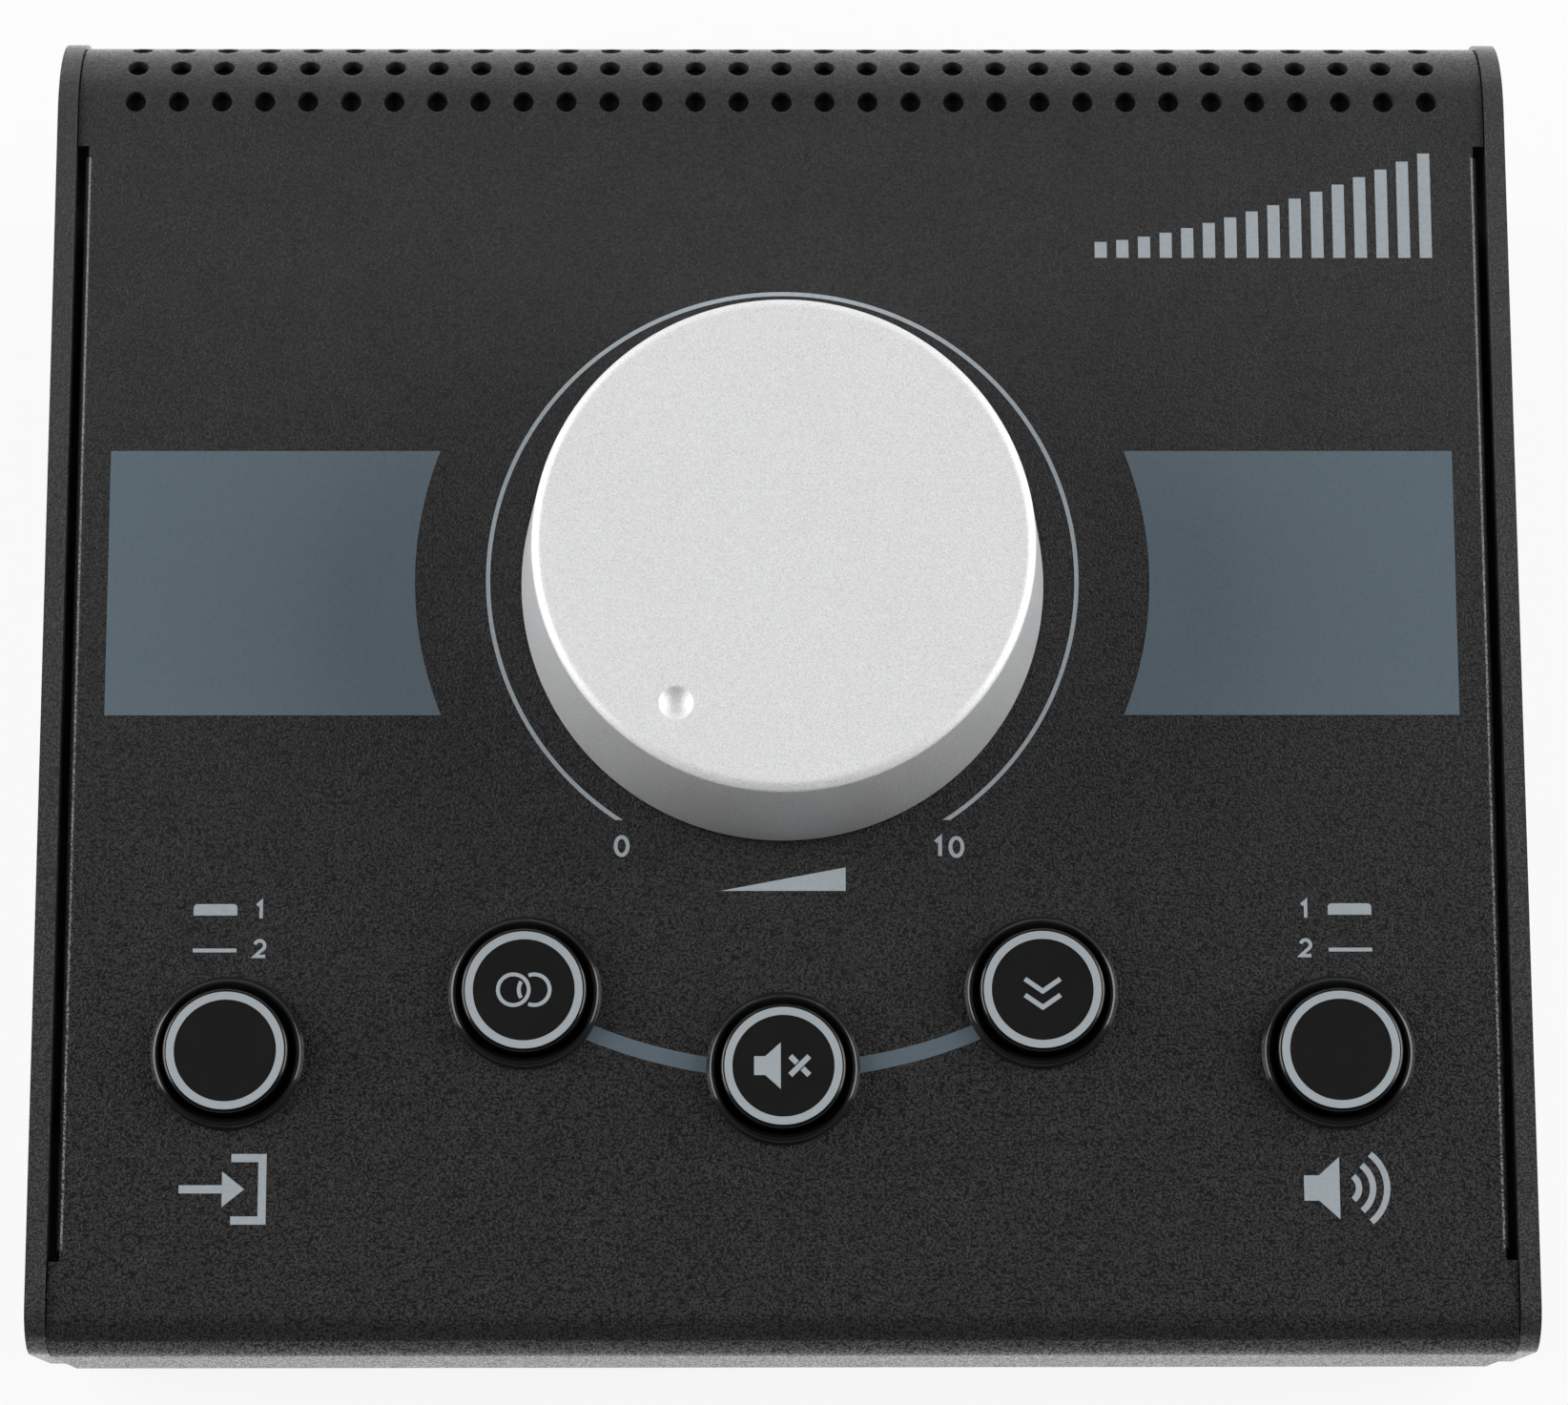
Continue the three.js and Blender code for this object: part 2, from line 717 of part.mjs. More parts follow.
// A round bar with a flat on the +y side above one height
function flattedRod(radius, flat, low, flatLow, high, sides) {
  const bar = rod(radius, low, high, sides);
  const outside = radius + cutOverrun;
  return cut(bar, block([-outside, radius - flat, flatLow], [outside, outside, high + cutOverrun]));
}

function knobInsert() {
  const low = potBushingTop + seatGap;
  const recessTop = knobFloat + knobRecessDepth;
  const flangeTop = recessTop - seatGap;
  const body = turned([
    [0, low],
    [knobInsertRadius, low],
    [knobInsertRadius, flangeTop - knobInsertFlangeHeight],
    [knobInsertFlange, flangeTop - knobInsertFlangeHeight],
    [knobInsertFlange, flangeTop],
    [knobInsertRadius, flangeTop],
    [knobInsertRadius, potShaftTop + knobInsertCrown],
    [0, potShaftTop + knobInsertCrown],
  ], roundSides);
  const boreRadius = potShaftRadius + seatGap;
  const boreLow = low - cutOverrun;
  return cut(body, flattedRod(boreRadius, potShaftFlat, boreLow, boreLow, potShaftTop + seatGap, smallSides));
}

function potShaft() {
  const low = potBottom() + potFloor + potShaftFoot;
  return flattedRod(potShaftRadius, potShaftFlat, low, potBushingTop, potShaftTop, smallSides);
}

function potBottom() {
  return seatGap - controlBoardDepth;
}

function potHousing() {
  const low = potBottom();
  const high = -sheetThickness - seatGap;
  const middle = (low + high) / 2;
  const bore = potShaftRadius + seatGap;
  return turned([
    [0, low],
    [potBodyRadius, low],
    [potBodyRadius, middle - potGangGrooveHeight / 2],
    [potBodyRadius - potGangGroove, middle - potGangGrooveHeight / 2],
    [potBodyRadius - potGangGroove, middle + potGangGrooveHeight / 2],
    [potBodyRadius, middle + potGangGrooveHeight / 2],
    [potBodyRadius, high],
    [potBushingRadius, high],
    [potBushingRadius, potBushingTop],
    [bore, potBushingTop],
    [bore, low + potFloor],
    [0, low + potFloor],
  ], roundSides);
}

function potWasher() {
  return turnedRing([
    [potBushingRadius + seatGap, seatGap],
    [potWasherRadius, seatGap],
    [potWasherRadius, seatGap + potWasherThickness],
    [potBushingRadius + seatGap, seatGap + potWasherThickness],
  ], roundSides);
}

// A six-sided nut with chamfered outer corners, low face at z = 0
function hexNut(flats, height, holeRadius) {
  const cornerRadius = flats / 2 / Math.cos(Math.PI / hexSides);
  const hexagon = rod(cornerRadius, 0, height, hexSides);
  const chamfer = cornerRadius - flats / 2;
  const envelope = turned([
    [0, 0],
    [cornerRadius, 0],
    [cornerRadius, height - chamfer],
    [flats / 2, height],
    [0, height],
  ], smallSides);
  return cut(common(hexagon, envelope), rod(holeRadius, -cutOverrun, height + cutOverrun, smallSides));
}

function potNut() {
  const nut = hexNut(potNutFlats, potNutHeight, potBushingRadius + seatGap);
  return nut.translate(0, 0, potWasherThickness + 2 * seatGap);
}

// Push buttons

function bezelBore() {
  return capRadius + capClearance;
}

function bezelSleeveRadius() {
  return bezelBore() + bezelSleeveWall;
}

function buttonBezel() {
  return turnedRing([
    [bezelBore(), -bezelSleeveDepth],
    [bezelSleeveRadius(), -bezelSleeveDepth],
    [bezelSleeveRadius(), seatGap],
    [bezelRadius, seatGap],
    [bezelRadius, bezelEdgeHeight],
    [bezelLipRadius, bezelLipHeight],
    [bezelTroughRadius, bezelTroughHeight],
    [bezelBore(), 0],
  ], buttonSides);
}

function buttonCap() {
  const shell = turned([
    [0, capTop - capWall],
    [capRadius - capWall, capTop - capWall],
    [capRadius - capWall, -capSkirt],
    [capRadius, -capSkirt],
    ...roundedEdge(capRadius, capTop, capEdgeRadius, smallBendSteps),
    [0, capTop],
  ], buttonSides);
  const boss = rod(capBossRadius, -capBossDepth, capTop - capWall / 2, smallSides);
  const halfSocket = switchStemWidth / 2 + seatGap;
  const socket = block(
    [-halfSocket, -halfSocket, -capBossDepth - cutOverrun],
    [halfSocket, halfSocket, capSocketDepth - capBossDepth],
  );
  return cut(joined(shell, boss), socket);
}

// Heights of a switch, below the panel
function switchHeights() {
  const low = seatGap - controlBoardDepth;
  const chamberLow = low + switchWall;
  const sliderLow = chamberLow + seatGap + buttonTravel;
  const sliderHigh = sliderLow + switchSliderHeight;
  const chamberHigh = sliderHigh + seatGap;
  return { low, chamberLow, sliderLow, sliderHigh, chamberHigh, high: chamberHigh + switchWall };
}

function switchHousing() {
  const { low, chamberLow, chamberHigh, high } = switchHeights();
  const half = switchBodyWidth / 2;
  const halfChamber = switchSliderWidth / 2 + seatGap;
  const halfStem = switchStemWidth / 2 + seatGap;
  const hollow = joined(
    block([-halfChamber, -halfChamber, chamberLow], [halfChamber, halfChamber, chamberHigh]),
    block([-halfStem, -halfStem, chamberLow], [halfStem, halfStem, high + cutOverrun]),
  );
  return cut(block([-half, -half, low], [half, half, high]), hollow);
}

function switchPlunger() {
  const { sliderLow, sliderHigh } = switchHeights();
  const halfSlider = switchSliderWidth / 2;
  const halfStem = switchStemWidth / 2;
  const stemTop = capSocketDepth - capBossDepth - seatGap;
  const stem = new THREE.ExtrudeGeometry(
    roundedRectangle(-halfStem, -halfStem, halfStem, halfStem, stemChamfer),
    { depth: stemTop - sliderLow, bevelEnabled: false, curveSegments: 1 },
  ).translate(0, 0, sliderLow);
  return joined(stem, block([-halfSlider, -halfSlider, sliderLow], [halfSlider, halfSlider, sliderHigh]));
}

// Circuit boards and ribbon cable

// A board lying on z = 0 with rounded corners
function boardOf([left, front], [right, rear]) {
  const outline = roundedRectangle(left, front, right, rear, boardCornerRadius);
  const options = { depth: boardThickness, bevelEnabled: false, curveSegments: smallBendSteps };
  return new THREE.ExtrudeGeometry(outline, options);
}

function controlBoard() {
  const high = -controlBoardDepth;
  const low = high - boardThickness;
  const half = controlBoardHalfWidth;
  const board = boardOf([-half, controlBoardFront], [half, controlBoardRear]);
  const holes = studPlaces().map(([x, y]) => {
    return rod(boardStudHoleRadius, low - cutOverrun, high + cutOverrun, roundSides / 2).translate(x, y, 0);
  });
  return cut(board.translate(0, 0, low), ...holes);
}

function jackBoardY() {
  return wallInnerY - jackBodyDepth - 2 * seatGap;
}

function jackBoard() {
  const half = jacksPerSide * jackPitch + jackBodyWidth / 2 + jackBoardMargin;
  const middle = caseBottom + jackHeight;
  const board = boardOf([-half, middle - jackBoardHeight / 2], [half, middle + jackBoardHeight / 2]);
  return board.rotateX(quarterTurn).translate(0, jackBoardY(), 0);
}

// From the control board's underside down and back to the jack board
function ribbonCable() {
  const turn = quarterTurn - panelSlope;
  const boardUnderside = -controlBoardDepth - boardThickness;
  const boardEdge = new THREE.Vector3(0, controlBoardRear - ribbonInset, boardUnderside - seatGap);
  boardEdge.applyMatrix4(panelMatrix);
  const bendEndY = boardEdge.y + ribbonDrop * Math.sin(panelSlope) + ribbonBendRadius * Math.cos(panelSlope);
  const walk = {
    start: [boardEdge.y, boardEdge.z],
    heading: -turn,
    side: 1,
    steps: [
      { run: ribbonDrop },
      { radius: ribbonBendRadius, turns: evenTurns(turn, quarterSteps) },
      { run: jackBoardY() - boardThickness - seatGap - bendEndY },
    ],
  };
  return acrossWidth(sheetSection(walk, ribbonThickness), -ribbonWidth / 2, ribbonWidth / 2);
}

// Rear sockets

function jackPlaces() {
  const places = [];
  for (const side of [-1, 1]) {
    for (let place = 1; place <= jacksPerSide; place += 1) {
      places.push(side * place * jackPitch);
    }
  }
  return places.sort((first, second) => first - second);
}

// A socket along +z with an open bore: body behind the wall and bushing through it.
// z = 0 is the wall's outer face.
function socket(bodyWidth, bodyHeight, bushingRadius, bushingReach, boreRadius) {
  const bodyHigh = -sheetThickness - seatGap;
  const bodyLow = bodyHigh - jackBodyDepth;
  const body = block([-bodyWidth / 2, -bodyHeight / 2, bodyLow], [bodyWidth / 2, bodyHeight / 2, bodyHigh]);
  const bushing = turned([
    [0, bodyHigh - bushingRoot],
    [bushingRadius, bodyHigh - bushingRoot],
    [bushingRadius, bushingReach - jackChamfer],
    [bushingRadius - jackChamfer, bushingReach],
    [0, bushingReach],
  ], smallSides);
  const bore = rod(boreRadius, bodyLow + jackFloor, bushingReach + cutOverrun, smallSides);
  return cut(joined(body, bushing), bore);
}

function jackSocket() {
  return socket(jackBodyWidth, jackBodyHeight, jackBushingRadius, jackBushingReach, jackBoreRadius);
}

function miniSocket() {
  return socket(miniBodyWidth, miniBodyHeight, miniBushingRadius, miniBushingReach, miniBoreRadius);
}

function jackNut() {
  return hexNut(jackNutFlats, jackNutHeight, jackBushingRadius + seatGap).translate(0, 0, seatGap);
}

function miniNut() {
  return turnedRing([
    [miniBushingRadius + seatGap, seatGap],
    [miniNutRadius, seatGap],
    [miniNutRadius, seatGap + miniNutHeight],
    [miniBushingRadius + seatGap, seatGap + miniNutHeight],
  ], smallSides);
}

// Assembly

function piece(name, geometry, finish, place = [0, 0, 0]) {
  const mesh = new THREE.Mesh(geometry, new THREE.MeshStandardMaterial(finishes[finish]));
  mesh.name = name;
  mesh.position.set(...place);
  return mesh;
}

function caseGroup() {
  const group = new THREE.Group();
  group.add(piece('bottom_tray', bottomTray(), 'case'));
  group.add(piece('left_side_plate', sidePlate(-1), 'case'));
  group.add(piece('right_side_plate', sidePlate(1), 'case'));
  for (const [name, [x, y]] of Object.entries(footPlaces())) {
    group.add(piece(name, foot(), 'rubber', [x, y, 0]));
  }
  const ends = ['front', 'rear'];
  for (const [side, word] of [[-1, 'left'], [1, 'right']]) {
    screwPlaces().forEach(([y, z], index) => {
      const name = `side_screw_${ends[index]}_${word}`;
      const screw = piece(name, sideScrew(), 'darkSteel', [side * halfWidth, y, z]);
      screw.rotation.y = side * quarterTurn;
      group.add(screw);
    });
  }
  return group;
}

function rearGroup() {
  const group = new THREE.Group();
  group.position.set(0, wallRearY, caseBottom + jackHeight);
  group.rotation.x = -quarterTurn;
  jackPlaces().forEach((x, index) => {
    group.add(piece(`jack_${index + 1}`, jackSocket(), 'mattBlack', [x, 0, 0]));
    group.add(piece(`jack_nut_${index + 1}`, jackNut(), 'steel', [x, 0, 0]));
  });
  group.add(piece('mini_jack', miniSocket(), 'mattBlack'));
  group.add(piece('mini_jack_nut', miniNut(), 'steel'));
  return group;
}

function panelGroup() {
  const group = new THREE.Group();
  group.position.set(0, knobY, knobHeight);
  group.rotation.x = panelSlope;
  group.add(piece('top_cover', topCover(), 'case'));
  group.add(piece('control_board', controlBoard(), 'board'));
  group.add(piece('volume_knob', volumeKnob(), 'aluminium'));
  group.add(piece('knob_insert', knobInsert(), 'mattBlack'));
  group.add(piece('pot_housing', potHousing(), 'steel'));
  group.add(piece('pot_shaft', potShaft(), 'aluminium'));
  group.add(piece('pot_washer', potWasher(), 'steel'));
  group.add(piece('pot_nut', potNut(), 'steel'));
  for (const [name, [x, y]] of Object.entries(buttonPlaces)) {
    group.add(piece(`${name}_bezel`, buttonBezel(), 'glossBlack', [x, y, 0]));
    group.add(piece(`${name}_button_cap`, buttonCap(), 'mattBlack', [x, y, 0]));
    group.add(piece(`${name}_switch_housing`, switchHousing(), 'nylon', [x, y, 0]));
    group.add(piece(`${name}_switch_plunger`, switchPlunger(), 'nylon', [x, y, 0]));
  }
  return group;
}

const controller = new THREE.Group();
controller.add(caseGroup());
controller.add(rearGroup());
controller.add(panelGroup());
controller.add(piece('jack_board', jackBoard(), 'board'));
controller.add(piece('ribbon_cable', ribbonCable(), 'cable'));

export default controller;
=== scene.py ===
"""Looks of a desktop monitor controller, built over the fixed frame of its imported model.

Every length in a class field is in millimetres. A Placement turns the millimetres that a
sub-assembly is drawn in into the row frame's metres.
"""

import json
import logging
import math
from dataclasses import dataclass, field
from enum import Enum
from typing import Callable, Iterable, Optional, Sequence, Union

import bmesh
import bpy
from mathutils import Matrix, Vector
from mathutils.geometry import tessellate_polygon


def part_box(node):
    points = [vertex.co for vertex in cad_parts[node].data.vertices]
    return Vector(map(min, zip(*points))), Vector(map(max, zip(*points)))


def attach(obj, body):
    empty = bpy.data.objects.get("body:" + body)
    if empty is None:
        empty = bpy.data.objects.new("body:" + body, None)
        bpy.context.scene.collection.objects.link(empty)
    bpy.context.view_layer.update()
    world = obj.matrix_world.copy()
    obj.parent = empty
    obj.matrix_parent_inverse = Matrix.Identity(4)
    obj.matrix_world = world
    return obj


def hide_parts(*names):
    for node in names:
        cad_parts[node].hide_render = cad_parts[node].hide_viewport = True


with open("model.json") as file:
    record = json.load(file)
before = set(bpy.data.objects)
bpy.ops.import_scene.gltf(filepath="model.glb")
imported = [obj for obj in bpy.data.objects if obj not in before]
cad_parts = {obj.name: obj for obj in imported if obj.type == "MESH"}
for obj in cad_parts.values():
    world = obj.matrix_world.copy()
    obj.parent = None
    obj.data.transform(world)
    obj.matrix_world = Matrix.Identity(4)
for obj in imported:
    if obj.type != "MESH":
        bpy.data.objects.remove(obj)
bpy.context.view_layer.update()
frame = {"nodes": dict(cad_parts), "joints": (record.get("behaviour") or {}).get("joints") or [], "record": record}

log = logging.getLogger("controller")

Flat = tuple[float, float]
Point = tuple[float, float, float]
Corner = tuple[float, float, float]
Colour = tuple[float, float, float]
Number = Union[int, float]

MILLIMETRE = 0.001
QUARTER = math.pi / 2
MERGE_DISTANCE = MILLIMETRE / 2000
SLIVER = MILLIMETRE / 200
SHARP_ANGLE = 35.0
SHEET_ANGLE = 32.0
TURNED_ANGLE = 40.0
THREAD_ANGLE = 30.0
NUT_ANGLE = 25.0
BEVEL_ANGLE = 50.0
BEVEL_FACETS = 3
SIDES = (("left", -1), ("right", 1))
ENDS = ("front", "rear")


# Drawing

def spread(start: float, end: float, steps: int) -> list[float]:
    """Evenly spaced values, both ends included."""
    return [start + (end - start) * step / steps for step in range(steps + 1)]


def directions(sides: int) -> list[float]:
    """The directions of a regular polygon's corners, in radians."""
    return spread(0.0, 2 * math.pi, sides)[:-1]


def arc(centre: Flat, radius: float, start: float, end: float, steps: int) -> list[Flat]:
    """Points along an arc, both ends included.

    Args:
        centre: The arc's centre.
        radius: Its radius.
        start: The first point's angle, in radians.
        end: The last point's angle, in radians.
        steps: How many chords the arc has.

    Returns:
        steps + 1 points.
    """
    return [(centre[0] + radius * math.cos(turn), centre[1] + radius * math.sin(turn))
            for turn in spread(start, end, steps)]


def circle(centre: Flat, radius: float, sides: int) -> list[Flat]:
    """The corners of a regular polygon in a circle."""
    return arc(centre, radius, 0.0, 2 * math.pi * (sides - 1) / sides, sides - 1)


def sized(points: Iterable[Flat], centre: Flat, size: float) -> list[Flat]:
    """A shape in a box of one unit, drawn about a centre at a size."""
    return [(centre[0] + size * x, centre[1] + size * y) for x, y in points]


def filling(loops: Sequence[Sequence[Flat]]) -> list[tuple[int, int, int]]:
    """Triangles that fill an outline with holes, by the points' numbers counted through the loops."""
    return tessellate_polygon([[Vector((x, y, 0)) for x, y in loop] for loop in loops])


def filleted(corners: Sequence[Corner], steps: int = 8, closed: bool = True) -> list[Flat]:
    """An outline with each corner turned into an arc of that corner's radius.

    Args:
        corners: The outline's corners, each with its fillet radius.
        steps: Chords in each fillet.
        closed: Whether the last corner joins the first.

    Returns:
        The outline's points.
    """
    points: list[Flat] = []
    count = len(corners)
    for index, (x, y, radius) in enumerate(corners):
        at_end = not closed and index in (0, count - 1)
        if radius <= 0 or at_end:
            points.append((x, y))
            continue
        corner = Vector((x, y))
        before = (Vector(corners[index - 1][:2]) - corner).normalized()
        after = (Vector(corners[(index + 1) % count][:2]) - corner).normalized()
        half = math.acos(max(-1.0, min(1.0, before.dot(after)))) / 2
        centre = corner + (before + after).normalized() * (radius / math.sin(half))
        first = corner + before * (radius / math.tan(half)) - centre
        last = corner + after * (radius / math.tan(half)) - centre
        start = math.atan2(first.y, first.x)
        sweep = math.remainder(math.atan2(last.y, last.x) - start, 2 * math.pi)
        points += arc((centre.x, centre.y), radius, start, start + sweep, steps)
    return points


def moved_in(corners: Sequence[Corner], depth: float) -> list[Corner]:
    """An open line of filleted corners moved to its left side.

    Args:
        corners: The line's corners, each with its fillet radius on the outer side.
        depth: How far it moves.

    Returns:
        The inner line's corners, with the fillets that share the outer ones' centres.
    """
    points = [Vector(corner[:2]) for corner in corners]
    moved: list[Corner] = []
    for index, (x, y, radius) in enumerate(corners):
        ways = [(second - first).normalized()
                for first, second in zip(points, points[1:])][max(0, index - 1):index + 1]
        sides = [Vector((-way.y, way.x)) for way in ways]
        mitre = (sides[0] + sides[-1]).normalized()
        step = mitre * (depth / mitre.dot(sides[0]))
        moved.append((x + step.x, y + step.y, max(0.0, radius - depth)))
    return moved


def hexagon_radius(flats: float, turn: float) -> float:
    """How far a hexagon of a width across flats reaches in a direction."""
    sector = math.pi / 3
    return flats / 2 / math.cos((turn + sector / 2) % sector - sector / 2)


class Placement:
    """Axes that a sub-assembly is drawn along, in millimetres."""

    def __init__(self, origin: Vector, across: Vector, up: Vector) -> None:
        """Sets the axes.

        Args:
            origin: The drawing's origin in the row frame, in metres.
            across: The drawing's x axis.
            up: The drawing's z axis.
        """
        along = up.cross(across)
        turn = Matrix((across, along, up)).transposed().to_4x4()
        self.turn = turn
        self.matrix = Matrix.Translation(origin) @ turn @ Matrix.Scale(MILLIMETRE, 4)

    def box(self, node: str) -> tuple[Vector, Vector]:
        """A CAD node's lowest and highest corners in this placement.

        Args:
            node: The node's name.

        Returns:
            Both corners, in millimetres.
        """
        inverse = self.matrix.inverted()
        points = [inverse @ vertex.co for vertex in frame["nodes"][node].data.vertices]
        low = Vector([min(point[axis] for point in points) for axis in range(3)])
        high = Vector([max(point[axis] for point in points) for axis in range(3)])
        return low, high

    def centre(self, node: str) -> Vector:
        """The middle of a CAD node's box in this placement, in millimetres."""
        low, high = self.box(node)
        return (low + high) / 2


def panel_placement() -> Placement:
    """Axes on the panel from the printed ring's middle: x across, y up the slope, z out of it."""
    joint = next(joint for joint in frame["joints"] if joint["name"] == "volume_turn")
    across, up = Vector((1, 0, 0)), Vector(joint["axis"]).normalized()
    dial = (across * DIAL_AXIS[0] + up.cross(across) * DIAL_AXIS[1]) * MILLIMETRE
    return Placement(Vector(joint["pos_m"]) - dial, across, up)


def rear_placement() -> Placement:
    """Axes on the rear wall's outer face: z out of the wall, from the small socket's axis."""
    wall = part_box("bottom_tray")[1].y
    low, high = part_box("mini_jack")
    origin = Vector(((low.x + high.x) / 2, wall, (low.z + high.z) / 2))
    return Placement(origin, Vector((-1, 0, 0)), Vector((0, 1, 0)))


DIAL_AXIS: Flat = (0.0, -0.97)
ROW = Placement(Vector((0, 0, 0)), Vector((1, 0, 0)), Vector((0, 0, 1)))
SIDEWAYS = Placement(Vector((0, 0, 0)), Vector((0, 1, 0)), Vector((1, 0, 0)))
PANEL = panel_placement()
REAR = rear_placement()


class Draft:
    """One mesh being drawn: points in millimetres, faces and their material places."""

    def __init__(self, placement: Placement) -> None:
        """Starts an empty drawing in a placement."""
        self.placement = placement
        self.points: list[Point] = []
        self.faces: list[tuple[int, ...]] = []
        self.places: list[int] = []

    def point(self, x: float, y: float, z: float) -> int:
        """Adds a point and returns its number."""
        self.points.append((x, y, z))
        return len(self.points) - 1

    def face(self, corners: Iterable[int], place: int = 0) -> None:
        """Adds a face with the material at a place in the object's list."""
        self.faces.append(tuple(corners))
        self.places.append(place)

    def band(self, first: Sequence[int], second: Sequence[int], place: int = 0) -> None:
        """Joins two rings of as many points with quads."""
        count = len(first)
        for index in range(count):
            after = (index + 1) % count
            self.face((first[index], first[after], second[after], second[index]), place)

    def revolve(self, profile: Sequence[Flat], sides: int, centre: Flat, closed: bool = False,
                places: Optional[Sequence[int]] = None) -> None:
        """Turns a profile about an axis along z.

        Args:
            profile: Points of radius and height. A radius of zero is one point on the axis.
            sides: Facets round the axis.
            centre: The axis's place.
            closed: Whether the profile's last point joins its first.
            places: The material place of each stretch of the profile.
        """
        rings = [[self.point(x, y, height)
                  for x, y in (circle(centre, radius, sides) if radius > 0 else [centre])]
                 for radius, height in profile]
        pairs = list(zip(rings, rings[1:]))
        if closed:
            pairs.append((rings[-1], rings[0]))
        for stretch, (first, second) in enumerate(pairs):
            place = places[stretch] if places else 0
            if len(first) == 1:
                first, second = second, first
            if len(second) > 1:
                self.band(first, second, place)
                continue
            for index in range(len(first)):
                self.face((first[index], first[(index + 1) % len(first)], second[0]), place)

    def rings(self, rings: Sequence[Sequence[Point]], tip: Optional[Point] = None,
              closed: bool = False) -> None:
        """Joins rings of points into a skin.

        Args:
            rings: Rings with the same number of points.
            tip: A point that closes the last ring.
            closed: Whether the last ring joins the first.
        """
        numbers = [[self.point(*point) for point in ring] for ring in rings]
        for first, second in zip(numbers, numbers[1:]):
            self.band(first, second)
        last = numbers[-1]
        if closed:
            self.band(last, numbers[0])
        if tip:
            end = self.point(*tip)
            for first, second in zip(last, last[1:] + last[:1]):
                self.face((first, second, end))

    def prism(self, outline: Sequence[Flat], low: float, high: float,
              holes: Sequence[Sequence[Flat]] = ()) -> None:
        """Adds a solid between two heights from an outline in x and y.

        Args:
            outline: The outer boundary.
            low: The lower height.
            high: The upper height.
            holes: Boundaries of holes through it.
        """
        loops = [outline, *holes]
        lower, upper = ([[self.point(x, y, height) for x, y in loop] for loop in loops]
                        for height in (low, high))
        for low_ring, high_ring in zip(lower, upper):
            self.band(low_ring, high_ring)
        flat_lower, flat_upper = sum(lower, []), sum(upper, [])
        for triangle in filling(loops):
            self.face([flat_lower[number] for number in reversed(triangle)])
            self.face([flat_upper[number] for number in triangle])

    def object(self, name: str, smooth_angle: float = SHARP_ANGLE) -> bpy.types.Object:
        """Makes the mesh object.

        Args:
            name: The object's name.
            smooth_angle: Edges that turn more than this many degrees stay sharp.

        Returns:
            The object, with its normals out and weighted by face area.
        """
        mesh = bpy.data.meshes.new(name)
        matrix = self.placement.matrix
        mesh.from_pydata([matrix @ Vector(point) for point in self.points], [], self.faces)
        mesh.polygons.foreach_set("material_index", self.places)
        work = bmesh.new()
        work.from_mesh(mesh)
        bmesh.ops.remove_doubles(work, verts=work.verts, dist=MERGE_DISTANCE)
        bmesh.ops.recalc_face_normals(work, faces=work.faces)
        work.to_mesh(mesh)
        work.free()
        thing = bpy.data.objects.new(name, mesh)
        bpy.context.scene.collection.objects.link(thing)
        smooth(thing, smooth_angle)
        return thing


class SheetSkin:
    """A bent sheet drawn as its outer face, each point with the point behind it."""

    def __init__(self, placement: Placement) -> None:
        """Starts an empty skin in a placement."""
        self.placement = placement
        self.outer: list[Point] = []
        self.inner: list[Point] = []
        self.faces: list[tuple[int, ...]] = []
        self.hole_points: set[int] = set()
        self.known: dict[tuple[float, ...], int] = {}

    def add(self, outer: Sequence[float], inner: Sequence[float]) -> int:
        """Adds a point and the point behind it, or finds the pair.

        Args:
            outer: The point on the outer face.
            inner: The point behind it.

        Returns:
            The pair's number.
        """
        key = tuple(round(part, 4) for part in (*outer, *inner))
        if key not in self.known:
            self.known[key] = len(self.outer)
            self.outer.append(tuple(outer))
            self.inner.append(tuple(inner))
        return self.known[key]

    def face(self, *corners: int) -> None:
        """Adds a face by its points' numbers."""
        self.faces.append(corners)

    def strip(self, rows: Sequence[Sequence[int]]) -> None:
        """Joins rows of two points with faces."""
        for first, second in zip(rows, rows[1:]):
            self.face(first[0], first[1], second[1], second[0])

    def flat_face(self, loops: Sequence[Sequence[Flat]],
                  pair: Callable[[float, float], tuple[Point, Point]]) -> None:
        """Adds a flat stretch of the sheet, filled with triangles.

        Args:
            loops: The stretch's outline and its holes, in two coordinates.
            pair: Makes the outer point and the point behind it from the two coordinates.
        """
        numbers = [self.add(*pair(*place)) for loop in loops for place in loop]
        for triangle in filling(loops):
            self.face(*[numbers[number] for number in triangle])

    def draft(self) -> Draft:
        """The closed sheet: both faces and the cut edges between them.

        Returns:
            The drawing.
        """
        made = Draft(self.placement)
        shift = len(self.outer)
        made.points = [*self.outer, *self.inner]
        uses: dict[frozenset[int], list[tuple[int, int]]] = {}
        for corners in self.faces:
            made.face(corners)
            made.face([corner + shift for corner in reversed(corners)])
            for first, second in zip(corners, (*corners[1:], corners[0])):
                uses.setdefault(frozenset((first, second)), []).append((first, second))
        for pairs in uses.values():
            if len(pairs) == 1:
                first, second = pairs[0]
                # The vents' cut walls take the second material, which is painted shade.
                place = int(first in self.hole_points)
                made.face((second, first, first + shift, second + shift), place)
        return made


def smooth(thing: bpy.types.Object, angle: float) -> None:
    """Shades an object smooth, with sharp edges where it turns by more than an angle in degrees."""
    mesh = thing.data
    mesh.polygons.foreach_set("use_smooth", [True] * len(mesh.polygons))
    mesh.set_sharp_from_angle(angle=math.radians(angle))
    weighted = thing.modifiers.new("weighted", "WEIGHTED_NORMAL")
    weighted.keep_sharp = True


